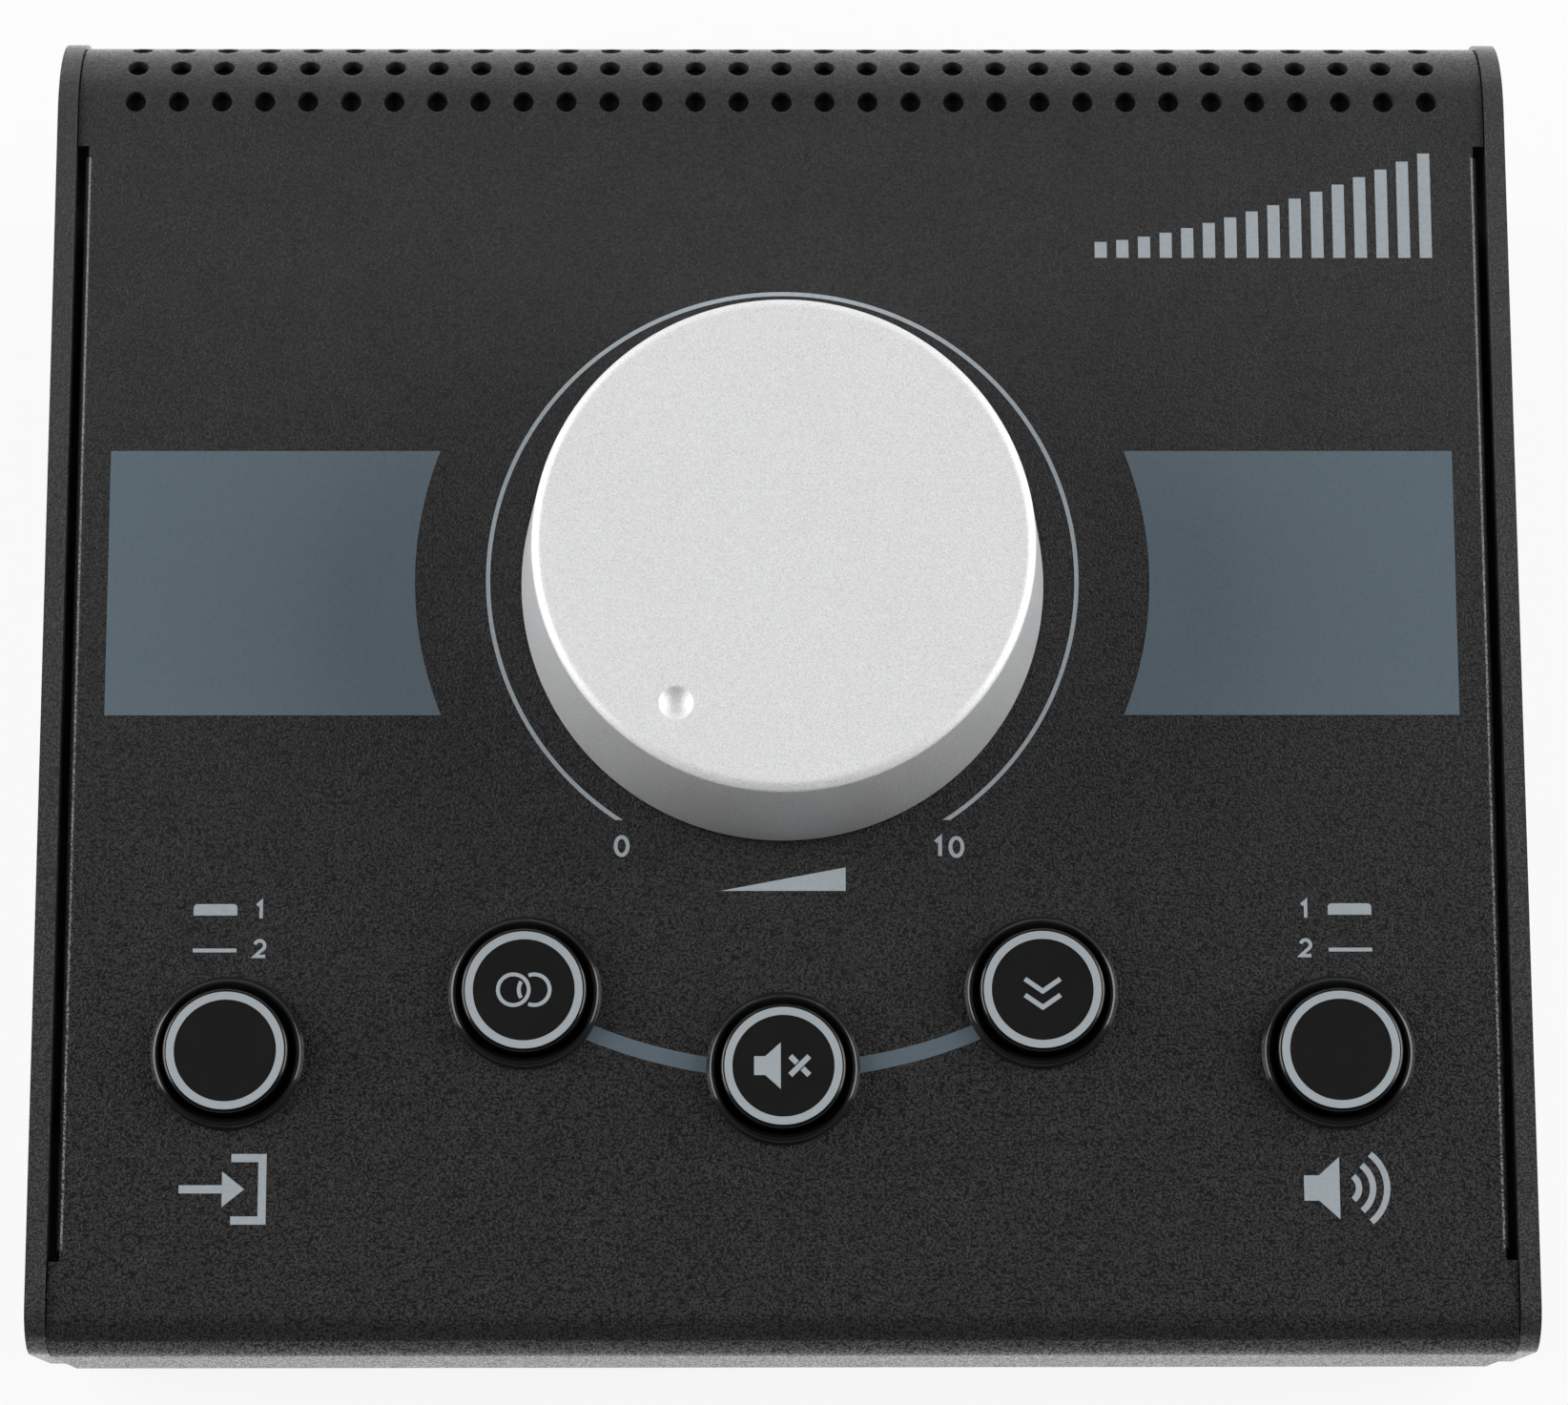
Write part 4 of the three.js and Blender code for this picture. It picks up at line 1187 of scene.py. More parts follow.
@dataclass
class SidePlates:
    """The two thick side plates."""

    lower_radius: float = 6.0
    edge: float = 0.4
    screw_head: float = 3.34
    screw_shank: float = 1.8
    screw_depth: float = 1.7
    seat_gap: float = 0.05
    cut_heights: Flat = (1.0, -9.0)
    corner_steps: int = 14
    hole_sides: int = 40

    def build(self, word: str, side: int) -> bpy.types.Object:
        """Draws one plate.

        Args:
            word: Which plate, as in its node's name.
            side: 1 on the right, -1 on the left.

        Returns:
            The plate.
        """
        node = f"{word}_side_plate"
        low, high = ROW.box(node)
        draft = Draft(SIDEWAYS)
        draft.prism(self.outline(node), low.x, high.x)
        plate = draft.object(f"side_plate_{word}")
        softened(plate, self.edge)
        cutter = Draft(SIDEWAYS)
        outer = high.x if side > 0 else low.x
        top, bottom = self.cut_heights
        profile = [(0, top), (self.screw_head, top), (self.screw_head, self.seat_gap),
                   (self.screw_shank, -self.screw_depth), (self.screw_shank, bottom), (0, bottom)]
        for end in ENDS:
            place = ROW.centre(f"side_screw_{end}_{word}")
            cutter.revolve([(radius, outer + side * height) for radius, height in profile],
                           self.hole_sides, (place.y, place.z))
        carve(plate, cutter.object("screw_holes"))
        return dress(plate, Coat.PLATE_LIT)

    def outline(self, node: str) -> list[Flat]:
        """The plate's outline in y and z.

        Args:
            node: The plate's node.

        Returns:
            Its points.
        """
        cover = Cover()
        panel_low, panel_high = PANEL.box(node)
        low, high = ROW.box(node)
        pride = panel_high.z
        origin = PANEL.matrix.translation / MILLIMETRE
        sine, cosine = math.sin(cover.slope), math.cos(cover.slope)
        front_top = (origin.y + panel_low.y * cosine - pride * sine,
                     origin.z + panel_low.y * sine + pride * cosine)
        front_low = (front_top[0] + (front_top[1] - low.z) * math.tan(cover.slope), low.z)
        reach = (high.y - origin.y + pride * sine) / cosine
        rear_top = (high.y, origin.z + reach * sine + pride * cosine)
        line = filleted([
            (*front_low, self.lower_radius),
            (high.y, low.z, self.lower_radius),
            (*rear_top, cover.roll_radius + pride),
            (*front_top, cover.front_bend + pride),
        ], self.corner_steps)
        return [(max(y, low.y), z) for y, z in line]


@dataclass
class Tray:
    """The bottom tray: base, front flange, side flanges and the rear wall with its holes."""

    thickness: float = 1.2
    bend: float = 2.4
    front_flange: float = 10.0
    side_flange: float = 14.0
    flange_inset: float = 4.0
    seat: float = 0.3
    jack_hole: float = 6.3
    mini_hole: float = 3.3
    screw_hole: float = 1.8
    hole_sides: int = 48
    bend_steps: int = 8

    def build(self) -> bpy.types.Object:
        """Draws the tray as one closed skin.

        Returns:
            The tray.
        """
        low, high = ROW.box("bottom_tray")
        slope = Cover().slope
        corner = low.y + self.front_flange * math.sin(slope)
        line = [(low.y, low.z + self.front_flange * math.cos(slope), 0.0), (corner, low.z, self.bend),
                (high.y, low.z, self.bend), (high.y, high.z, 0.0)]
        outer = filleted(line, self.bend_steps, closed=False)
        inner = filleted(moved_in(line, self.thickness), self.bend_steps, closed=False)
        reach = high.x - self.bend
        skin = SheetSkin(ROW)
        rows = [[skin.add((x, *out), (x, *back)) for x in (-reach, reach)]
                for out, back in zip(outer[:-1], inner[:-1])]
        base = self.bend_steps + 1
        skin.strip(rows[:base + 1])
        skin.strip(rows[base + 1:])
        self._rear_wall(skin, rows[-1], high)
        ends = (corner + self.flange_inset - (self.thickness + self.seat) / math.cos(slope),
                high.y - self.thickness - self.flange_inset)
        joins = [self._side_flange(skin, side, reach, ends, low.z) for side in (-1, 1)]
        skin.face(*rows[base], *joins[1], *reversed(rows[base + 1]), *reversed(joins[0]))
        return dress(skin.draft().object("tray", SHEET_ANGLE), Coat.CASE)

    def _rear_wall(self, skin: SheetSkin, lower: Sequence[int], high: Vector) -> None:
        """The flat wall with the holes for the sockets, wider than the base."""
        seam = skin.outer[lower[0]][2]
        sides = [(high.x, seam), (high.x, high.z), (-high.x, high.z), (-high.x, seam)]
        loops = [[*((skin.outer[number][0], skin.outer[number][2]) for number in lower), *sides]]
        centres = [(ROW.centre(f"jack_{number}"), self.jack_hole) for number in Sockets.numbers]
        centres.append((ROW.centre("mini_jack"), self.mini_hole))
        loops += [circle((centre.x, centre.z), radius, self.hole_sides) for centre, radius in centres]
        skin.flat_face(loops, lambda x, z: ((x, high.y, z), (x, high.y - self.thickness, z)))

    def _side_flange(self, skin: SheetSkin, side: int, reach: float, ends: Flat,
                     floor: float) -> list[int]:
        """One upturned side flange with its screw holes.

        Args:
            skin: The tray's skin.
            side: 1 on the right, -1 on the left.
            reach: Where its bend starts.
            ends: Its front and rear end.
            floor: The height of the tray's outer face.

        Returns:
            The points on the base's edge, front and rear.
        """
        line = [(reach - 1, floor, 0.0), (reach + self.bend, floor, self.bend),
                (reach + self.bend, floor + self.side_flange, 0.0)]
        outer = filleted(line, self.bend_steps, closed=False)[1:-1]
        inner = filleted(moved_in(line, self.thickness), self.bend_steps, closed=False)[1:-1]
        rows = [[skin.add((side * out[0], y, out[1]), (side * back[0], y, back[1])) for y in ends]
                for out, back in zip(outer, inner)]
        skin.strip(rows)
        x = side * (reach + self.bend)
        back = side * (reach + self.bend - self.thickness)
        top = floor + self.side_flange
        seam = skin.outer[rows[-1][0]][2]
        loops = [[(ends[0], seam), (ends[1], seam), (ends[1], top), (ends[0], top)]]
        word = "right" if side > 0 else "left"
        for end in ENDS:
            centre = ROW.centre(f"side_screw_{end}_{word}")
            loops.append(circle((centre.y, centre.z), self.screw_hole, self.hole_sides // 2))
        skin.flat_face(loops, lambda y, z: ((x, y, z), (back, y, z)))
        return rows[0]


@dataclass(frozen=True)
class Screw:
    """A countersunk screw with a hexagonal socket, its head's face at z = 0."""

    head: float = 3.0
    head_depth: float = 1.7
    shank: float = 1.5
    length: float = 9.0
    flats: float = 2.0
    socket_depth: float = 1.1
    rim: float = 0.15
    socket_edge: float = 0.12
    socket_tip: float = 0.3
    thread: float = 0.12
    pitch: float = 0.5
    thread_gap: float = 0.4
    flare: float = 0.2
    point: Flat = (0.5, 0.3)
    sides: int = 48

    def draw(self, draft: Draft) -> None:
        """Adds the screw to a drawing, with its axis along z."""
        turns = directions(self.sides)

        def ring(radius: float, z: float) -> list[Point]:
            """A round ring."""
            return [(radius * math.cos(turn), radius * math.sin(turn), z) for turn in turns]

        def hexagon(flats: float, z: float) -> list[Point]:
            """A hexagonal ring."""
            reaches = [hexagon_radius(flats, turn) for turn in turns]
            return [(reach * math.cos(turn), reach * math.sin(turn), z)
                    for reach, turn in zip(reaches, turns)]

        root = self.shank - self.thread
        threads = []
        for index in range(int((self.length - self.head_depth - 1) / self.pitch)):
            z = -self.head_depth - self.thread_gap - index * self.pitch
            threads += [ring(self.shank, z), ring(root, z - self.pitch / 2)]
        narrowing, tip_height = self.point
        draft.rings([
            ring(self.head - self.rim, 0),
            hexagon(self.flats + self.flare, 0),
            hexagon(self.flats, -self.socket_edge),
            hexagon(self.flats, -self.socket_depth),
        ], tip=(0, 0, -self.socket_depth - self.socket_tip))
        draft.rings([
            ring(self.head - self.rim, 0),
            ring(self.head, -self.rim),
            ring(self.shank, -self.head_depth),
            *threads,
            ring(root, tip_height - self.length),
            ring(self.shank - narrowing, -self.length),
        ], tip=(0, 0, -self.length))


@dataclass
class Fasteners:
    """The side plates' screws and the rubber feet with the screws that hold them."""

    foot_edge: float = 0.6
    recess: float = 2.6
    recess_depth: float = 1.0
    recess_edge: float = 0.25
    foot_screw: Screw = Screw(2.2, 0.5, 1.2, 1.9, 1.8, 0.35)
    foot_screw_depth: float = 0.55
    edge_steps: int = 6
    sides: int = 64

    def side_screw(self, end: str, word: str) -> bpy.types.Object:
        """Draws one side screw.

        Args:
            end: front or rear.
            word: left or right.

        Returns:
            The screw.
        """
        node = f"side_screw_{end}_{word}"
        low, high = ROW.box(node)
        middle = (low + high) / 2
        side = 1 if word == "right" else -1
        face = high.x if side > 0 else low.x
        origin = Vector((face, middle.y, middle.z)) * MILLIMETRE
        draft = Draft(Placement(origin, Vector((0, 1, 0)), Vector((side, 0, 0))))
        Screw().draw(draft)
        return dress(draft.object(f"screw_{end}_{word}", THREAD_ANGLE), Coat.BLACK_STEEL)

    def foot(self, end: str, word: str) -> bpy.types.Object:
        """Draws one rubber foot.

        Args:
            end: front or rear.
            word: left or right.

        Returns:
            The foot.
        """
        low, high = ROW.box(f"foot_{end}_{word}")
        middle = (low + high) / 2
        radius = (high.x - low.x) / 2
        profile = filleted([
            (0.0, self.recess_depth, 0.0),
            (self.recess, self.recess_depth, 0.0),
            (self.recess, 0.0, self.recess_edge),
            (radius - self.foot_edge, 0.0, self.foot_edge),
            (radius, high.z, self.foot_edge / 2),
            (0.0, high.z, 0.0),
        ], self.edge_steps, closed=False)
        draft = Draft(ROW)
        draft.revolve(profile, self.sides, (middle.x, middle.y))
        return dress(draft.object(f"rubber_foot_{end}_{word}", TURNED_ANGLE), Coat.RUBBER)

    def recess_screw(self, end: str, word: str) -> bpy.types.Object:
        """Draws the screw in one foot's recess, with its head facing down."""
        middle = ROW.centre(f"foot_{end}_{word}")
        origin = Vector((middle.x, middle.y, self.recess_depth - self.foot_screw_depth)) * MILLIMETRE
        draft = Draft(Placement(origin, Vector((1, 0, 0)), Vector((0, 0, -1))))
        self.foot_screw.draw(draft)
        return dress(draft.object(f"foot_screw_{end}_{word}", THREAD_ANGLE), Coat.BLACK_STEEL)


@dataclass(frozen=True)
class SocketKind:
    """What differs between the two kinds of socket: the body and the radii of bushing and bore."""

    body: Flat
    bushing: float
    bore: float


JACK = SocketKind((15.0, 13.5), 6.0, 3.3)
SMALL_JACK = SocketKind((8.0, 7.0), 3.0, 1.8)


@dataclass
class Sockets:
    """The rear row of sockets with their nuts."""

    numbers = range(1, 9)
    wall: float = 1.5
    body_depth: float = 28.0
    body_edge: float = 0.8
    floor: float = 1.2
    seam: float = 0.02
    root: float = 1.2
    chamfer: float = 0.6
    thread: float = 0.28
    pitch: float = 0.75
    mouth: float = 0.45
    nut_low: float = 0.3
    nut_clearance: float = 0.3
    nut_edge: float = 0.35
    nut_chamfer: float = 0.15
    nut_chamfer_angle: float = 28.0
    slot_width: float = 0.9
    slot_depth: float = 0.6
    overrun: float = 1.0
    contact_low: float = -0.6
    contact_gap: float = 0.02
    contact_reach: float = 0.25
    contact_tops: Flat = (0.3, 0.5)
    end_edge: float = 0.1
    crest: Flat = (0.3, 0.6)
    corner_steps: int = 5
    sides: int = 72

    def socket(self, node: str, name: str, kind: SocketKind) -> bpy.types.Object:
        """Draws one socket with a threaded bushing and an open bore.

        Args:
            node: The CAD node that it stands for.
            name: The object's name.
            kind: The socket's kind.

        Returns:
            The socket.
        """
        low, high = REAR.box(node)
        x, y = (low.x + high.x) / 2, (low.y + high.y) / 2
        top, bushing, bore = high.z, kind.bushing, kind.bore
        draft = Draft(REAR)
        threads: list[Flat] = []
        count = int((top - self.chamfer - self.nut_low) / self.pitch)
        for index in range(count):
            z = self.nut_low + index * self.pitch
            threads += [(bushing, z), (bushing, z + self.pitch * self.crest[0]),
                        (bushing - self.thread, z + self.pitch * self.crest[1])]
        root = -self.wall - self.root
        profile = [(bore, root), (bushing, root), *threads,
                   (bushing, self.nut_low + count * self.pitch),
                   (bushing - self.chamfer, top - self.end_edge),
                   (bushing - self.chamfer - self.end_edge, top),
                   (bore + self.mouth, top), (bore, top - self.mouth)]
        draft.revolve(profile, self.sides, (x, y), closed=True)
        width, height = kind.body
        outline = filleted([(x + across * width / 2, y + up * height / 2, self.body_edge)
                            for across, up in ((-1, -1), (1, -1), (1, 1), (-1, 1))], self.corner_steps)
        base = -self.wall - self.body_depth
        draft.prism(outline, base, base + self.floor)
        hole = circle((x, y), bore, self.sides)
        draft.prism(outline, base + self.floor + self.seam, -self.wall, [hole])
        return dress(draft.object(name, THREAD_ANGLE), Coat.SOCKET)

    def contact(self, node: str, bore: float) -> bpy.types.Object:
        """Draws the metal ring inside one socket's bore."""
        low, high = REAR.box(node)
        draft = Draft(REAR)
        outer, inner = bore - self.contact_gap, bore - self.contact_reach
        outer_top, inner_top = (high.z - self.mouth - drop for drop in self.contact_tops)
        profile = [(outer, self.contact_low), (outer, outer_top),
                   (inner, inner_top), (inner, self.contact_low)]
        draft.revolve(profile, self.sides, ((low.x + high.x) / 2, (low.y + high.y) / 2), closed=True)
        return dress(draft.object(f"contact_{node}", TURNED_ANGLE), Coat.STEEL)

    def hex_nut(self, node: str) -> bpy.types.Object:
        """Draws one hexagonal nut with chamfered corners.

        Args:
            node: The CAD node that it stands for.

        Returns:
            The nut.
        """
        low, high = REAR.box(node)
        x, y = (low.x + high.x) / 2, (low.y + high.y) / 2
        flats = min(high.x - low.x, high.y - low.y)
        face = flats / 2 - self.nut_chamfer
        slope = math.tan(math.radians(self.nut_chamfer_angle))
        turned = 0.0 if high.x - low.x < high.y - low.y else math.pi / 6
        turns = directions(self.sides)
        reaches = [hexagon_radius(flats, turn + turned) for turn in turns]
        falls = [max(0.0, reach - face) * slope for reach in reaches]

        def rim(radii: Sequence[float], heights: Sequence[float]) -> list[Point]:
            """A ring from its radius and height in each direction."""
            return [(x + radius * math.cos(turn), y + radius * math.sin(turn), z)
                    for turn, radius, z in zip(turns, radii, heights)]

        def ring(radius: float, height: float) -> list[Point]:
            """A round and level ring."""
            return rim([radius] * self.sides, [height] * self.sides)

        bore = JACK.bushing + self.nut_clearance
        draft = Draft(REAR)
        draft.rings([
            ring(bore, low.z),
            ring(face, low.z),
            rim(reaches, [low.z + fall for fall in falls]),
            rim(reaches, [high.z - fall for fall in falls]),
            ring(face, high.z),
            ring(bore + self.nut_edge, high.z),
            ring(bore, high.z - self.nut_edge),
        ], closed=True)
        return dress(draft.object(f"nut_{node.removeprefix('jack_nut_')}", NUT_ANGLE), Coat.STEEL)

    def small_nut(self) -> bpy.types.Object:
        """Draws the small socket's round nut with two slots."""
        low, high = REAR.box("mini_jack_nut")
        x, y = (low.x + high.x) / 2, (low.y + high.y) / 2
        radius = (high.x - low.x) / 2
        bore = SMALL_JACK.bushing + self.nut_clearance
        profile = filleted([
            (bore, low.z, 0.0), (radius, low.z, 0.15), (radius, high.z, 0.3), (bore, high.z, 0.2),
        ], self.corner_steps)
        draft = Draft(REAR)
        draft.revolve(profile, self.sides, (x, y), closed=True)
        thing = draft.object("nut_small", THREAD_ANGLE)
        slot = Draft(REAR)
        reach, half = radius + self.overrun, self.slot_width / 2
        outline = [(x - reach, y - half), (x + reach, y - half),
                   (x + reach, y + half), (x - reach, y + half)]
        slot.prism(outline, high.z - self.slot_depth, high.z + self.overrun)
        carve(thing, slot.object("nut_slot"), THREAD_ANGLE)
        return dress(thing, Coat.STEEL)


# Controls

@dataclass
class Dial:
    """The volume dial: a tapered turned body with a finger dimple in its top."""

    top_radius: float = 32.07
    top_edge: float = 1.35
    foot_edge: float = 0.4
    wall: float = 5.0
    recess: float = 9.5
    pocket: float = 7.8
    pocket_top: float = 21.3
    dimple_radius: float = 2.15
    dimple_depth: float = 0.95
    dimple_lip: float = 0.16
    dimple: Flat = (-13.65, -21.86)
    lip_middle: Flat = (0.3, 0.12)
    lip_foot: Flat = (0.02, 0.55)
    bowl_share: float = 0.9
    bowl_steps: int = 10
    edge_steps: int = 10
    sides: int = 192

    def build(self) -> bpy.types.Object:
        """Draws the dial.

        Returns:
            The dial.
        """
        low, high = PANEL.box("volume_knob")
        base = high.x
        recess_top = low.z + self.recess
        inside = [(0, self.pocket_top), (self.pocket, self.pocket_top), (self.pocket, recess_top),
                  (base - self.wall, recess_top), (base - self.wall, low.z)]
        outside = filleted([
            (base - self.wall, low.z, 0),
            (base, low.z, self.foot_edge),
            (self.top_radius, high.z, self.top_edge),
            (0, high.z, 0),
        ], self.edge_steps, closed=False)
        draft = Draft(PANEL)
        profile = [*inside, *outside[1:-1]]
        # The top and its rounded edge take the lighter copy of the aluminium and the side the darker one: painted
        # light and shade.
        places = [int(min(first[1], second[1]) > high.z - self.top_edge)
                  for first, second in zip(profile, profile[1:])]
        draft.revolve(profile, self.sides, DIAL_AXIS, places=places)
        self._top(draft, profile[-1][0], high.z)
        return dress(draft.object("dial", TURNED_ANGLE), Coat.DIAL_SIDE_SHADED, Coat.DIAL_TOP_LIT)

    def _top(self, draft: Draft, radius: float, height: float) -> None:
        """The flat top with the dimple sunk into it."""
        outer = circle(DIAL_AXIS, radius, self.sides)
        rim = self._dimple_profile()
        sides = self.sides // 3
        hole = circle(self.dimple, rim[0][0], sides)
        numbers = [draft.point(x, y, height) for x, y in (*outer, *hole)]
        for triangle in filling((outer, hole)):
            draft.face([numbers[number] for number in triangle], 1)
        bowl = [(reach, height - depth) for reach, depth in rim]
        draft.revolve(bowl, sides, self.dimple, places=[1] * (len(bowl) - 1))

    def _dimple_profile(self) -> list[Flat]:
        """The dimple's section: a softened lip and a round bowl, as radius and depth."""
        ball = (self.dimple_radius ** 2 + self.dimple_depth ** 2) / (2 * self.dimple_depth)
        half = math.asin(self.dimple_radius / ball)
        turns = [half * self.bowl_share * (1 - step / self.bowl_steps)
                 for step in range(self.bowl_steps + 1)]
        bowl = [(ball * math.sin(turn), self.dimple_depth - ball + ball * math.cos(turn))
                for turn in turns]
        lip = self.dimple_lip
        reach, depth = bowl[0]
        (out, down), (foot_out, foot_down) = self.lip_middle, self.lip_foot
        return [(self.dimple_radius + lip, 0.0), (self.dimple_radius + lip * out, lip * down),
                ((self.dimple_radius + reach) / 2 + lip * foot_out, depth * foot_down), *bowl]


@dataclass
class Buttons:
    """The five push buttons: bezels, caps and what is printed on the caps.

    The crown's corners are given as how far they lie inside the bezel's rim and under its lip, with
    their fillets. The trough's corner is given by its height instead.
    """

    names = ("source", "mono", "mute", "dim", "monitor")
    sleeve = 1.0
    clearance: float = 0.35
    bezel_seat: float = 0.3
    crown: tuple[Corner, ...] = ((0.0, 0.75, 0.1), (0.45, 0.12, 0.5), (0.75, 0.0, 0.15), (1.0, 0.12, 0.2))
    trough: Corner = (1.45, 0.18, 0.4)
    skirt: float = -2.6
    wall: float = 1.4
    skirt_edge: float = 0.2
    face_edge: float = 0.45
    boss: float = 4.2
    boss_low: float = -4.4
    boss_gap: float = 0.05
    ring: Flat = (6.6, 7.63)
    ink: float = 0.03
    crown_steps: int = 6
    cap_steps: int = 8
    sides: int = 96

    @staticmethod
    def places() -> dict[str, Vector]:
        """Each button's axis in the panel's placement, in millimetres."""
        return {name: PANEL.centre(f"{name}_button_cap") for name in Buttons.names}

    @staticmethod
    def sleeve_radius() -> float:
        """The radius of the bezel's sleeve, which the panel's hole is cut for."""
        low, high = PANEL.box("mono_button_cap")
        return (high.x - low.x) / 2 + Buttons.sleeve

    def __post_init__(self) -> None:
        """Reads the sizes of the caps and bezels from the frame."""
        low, high = PANEL.box("mono_bezel")
        self.bezel_radius = (high.x - low.x) / 2
        self.bezel_low = low.z
        self.lip = high.z
        low, high = PANEL.box("mono_button_cap")
        self.cap_radius = (high.x - low.x) / 2
        self.cap_top = high.z

    def bezel(self, name: str) -> bpy.types.Object:
        """Draws one bezel: a sleeve, a rolled lip and a trough round the cap."""
        place = self.places()[name]
        bore, sleeve = self.cap_radius + self.clearance, self.sleeve_radius()
        inset, height, fillet = self.trough
        crown = filleted([
            (self.bezel_radius, self.bezel_seat, 0.0),
            *[(self.bezel_radius - inside, self.lip - under, radius)
              for inside, under, radius in self.crown],
            (self.bezel_radius - inset, height, fillet),
            (bore, 0.0, 0.0),
        ], self.crown_steps, closed=False)
        profile = [(bore, self.bezel_low), (sleeve, self.bezel_low), (sleeve, self.bezel_seat), *crown]
        draft = Draft(PANEL)
        draft.revolve(profile, self.sides, (place.x, place.y), closed=True)
        return dress(draft.object(f"{name}_bezel_ring", TURNED_ANGLE), Coat.BEZEL)

    def cap(self, name: str) -> bpy.types.Object:
        """Draws one cap: glossy side, softened rim and a matt face."""
        place = self.places()[name]
        roof, hollow = self.cap_top - self.wall, self.cap_radius - self.wall
        outside = filleted([
            (hollow, self.skirt, 0),
            (self.cap_radius, self.skirt, self.skirt_edge),
            (self.cap_radius, self.cap_top, self.face_edge),
            (self.ring[0], self.cap_top, 0),
        ], self.cap_steps, closed=False)
        profile = [(0, roof), (hollow, roof), (hollow, self.skirt), *outside[1:], (0, self.cap_top)]
        places = [0] * (len(profile) - 2) + [1]
        boss_top = roof - self.boss_gap
        boss = [(0, self.boss_low), (self.boss, self.boss_low), (self.boss, boss_top), (0, boss_top)]
        draft = Draft(PANEL)
        draft.revolve(profile, self.sides, (place.x, place.y), places=places)
        draft.revolve(boss, self.sides, (place.x, place.y))
        return dress(draft.object(f"{name}_cap", TURNED_ANGLE), Coat.CAP, Coat.CAP_FACE)

    def print(self, name: str) -> bpy.types.Object:
        """Draws what is printed on one cap: a ring and a plain sign."""
        place = self.places()[name]
        press = Press(self.cap_top, self.ink, (place.x, place.y))
        press.ring((0, 0), *self.ring)
        Signs(press).cap(name)
        return dress(press.draft.object(f"{name}_cap_print"), Coat.CAP_INK)


# Prints

class Press:
    """Prints thin shapes on a face of the panel's placement."""

    sides = 96
    gap = 0.004
    corner_steps = 5
    sharpest = 0.4

    def __init__(self, height: float, thickness: float, origin: Flat = (0, 0)) -> None:
        """Sets the face's height, the ink's thickness and where shapes are drawn from."""
        self.draft = Draft(PANEL)
        self.low = height + self.gap
        self.high = self.low + thickness
        self.origin = origin

    def shape(self, outline: Sequence[Flat], holes: Sequence[Sequence[Flat]] = ()) -> None:
        """Prints a filled outline."""
        shift = Vector(self.origin)
        moved = [[tuple(Vector(point) + shift) for point in loop] for loop in (outline, *holes)]
        self.draft.prism(moved[0], self.low, self.high, moved[1:])

    def ring(self, centre: Flat, inner: float, outer: float) -> None:
        """Prints a ring."""
        self.shape(circle(centre, outer, self.sides), [circle(centre, inner, self.sides)])

    def bar(self, left: float, low: float, right: float, high: float,
            radii: Sequence[float] = (0, 0, 0, 0)) -> None:
        """Prints a bar, with a radius for each corner from the lower left round."""
        corners = [(left, low), (right, low), (right, high), (left, high)]
        self.shape(filleted([(*corner, radius) for corner, radius in zip(corners, radii)],
                            self.corner_steps))

    def stroke(self, points: Sequence[Flat], width: float, closed: bool = False) -> None:
        """Prints a line of even width.

        Args:
            points: The line's middle.
            width: Its width.
            closed: Whether its ends join.
        """
        line = [Vector(point) for point in points]
        count = len(line)
        sides: tuple[list[Flat], list[Flat]] = ([], [])
        for index, here in enumerate(line):
            before = line[index - 1] if index or closed else None
            after = line[(index + 1) % count] if index < count - 1 or closed else None
            steps = [(there - here).normalized() * sign
                     for there, sign in ((before, -1), (after, 1)) if there is not None]
            heading = sum(steps, Vector((0, 0))).normalized()
            normal = Vector((-heading.y, heading.x))
            stretch = 1 / max(self.sharpest, normal.dot(Vector((-steps[0].y, steps[0].x))))
            reach = normal * (width / 2 * stretch)
            sides[0].append(tuple(here + reach))
            sides[1].append(tuple(here - reach))
        if closed:
            areas = [abs(sum(a[0] * b[1] - b[0] * a[1] for a, b in zip(loop, loop[1:] + loop[:1])))
                     for loop in sides]
            outer, inner = (sides[0], sides[1]) if areas[0] > areas[1] else (sides[1], sides[0])
            self.shape(outer, [inner])
            return
        self.shape(sides[0] + sides[1][::-1])


class Digit(Enum):
    """Plain digits as lines in a box one unit high."""

    ZERO = "0"
    ONE = "1"
    TWO = "2"

    def lines(self) -> tuple[list[Flat], bool]:
        """The digit's line and whether it closes."""
        if self is Digit.ZERO:
            return [(0.33 * math.cos(turn), 0.5 * math.sin(turn))
                    for turn in (2 * math.pi * step / 40 for step in range(40))], True
        if self is Digit.ONE:
            return [(-0.2, 0.28), (0.05, 0.5), (0.05, -0.5)], False
        bow = arc((0, 0.2), 0.3, math.radians(165), math.radians(-38), 14)
        return [*bow, (-0.3, -0.46), (0.34, -0.46)], False


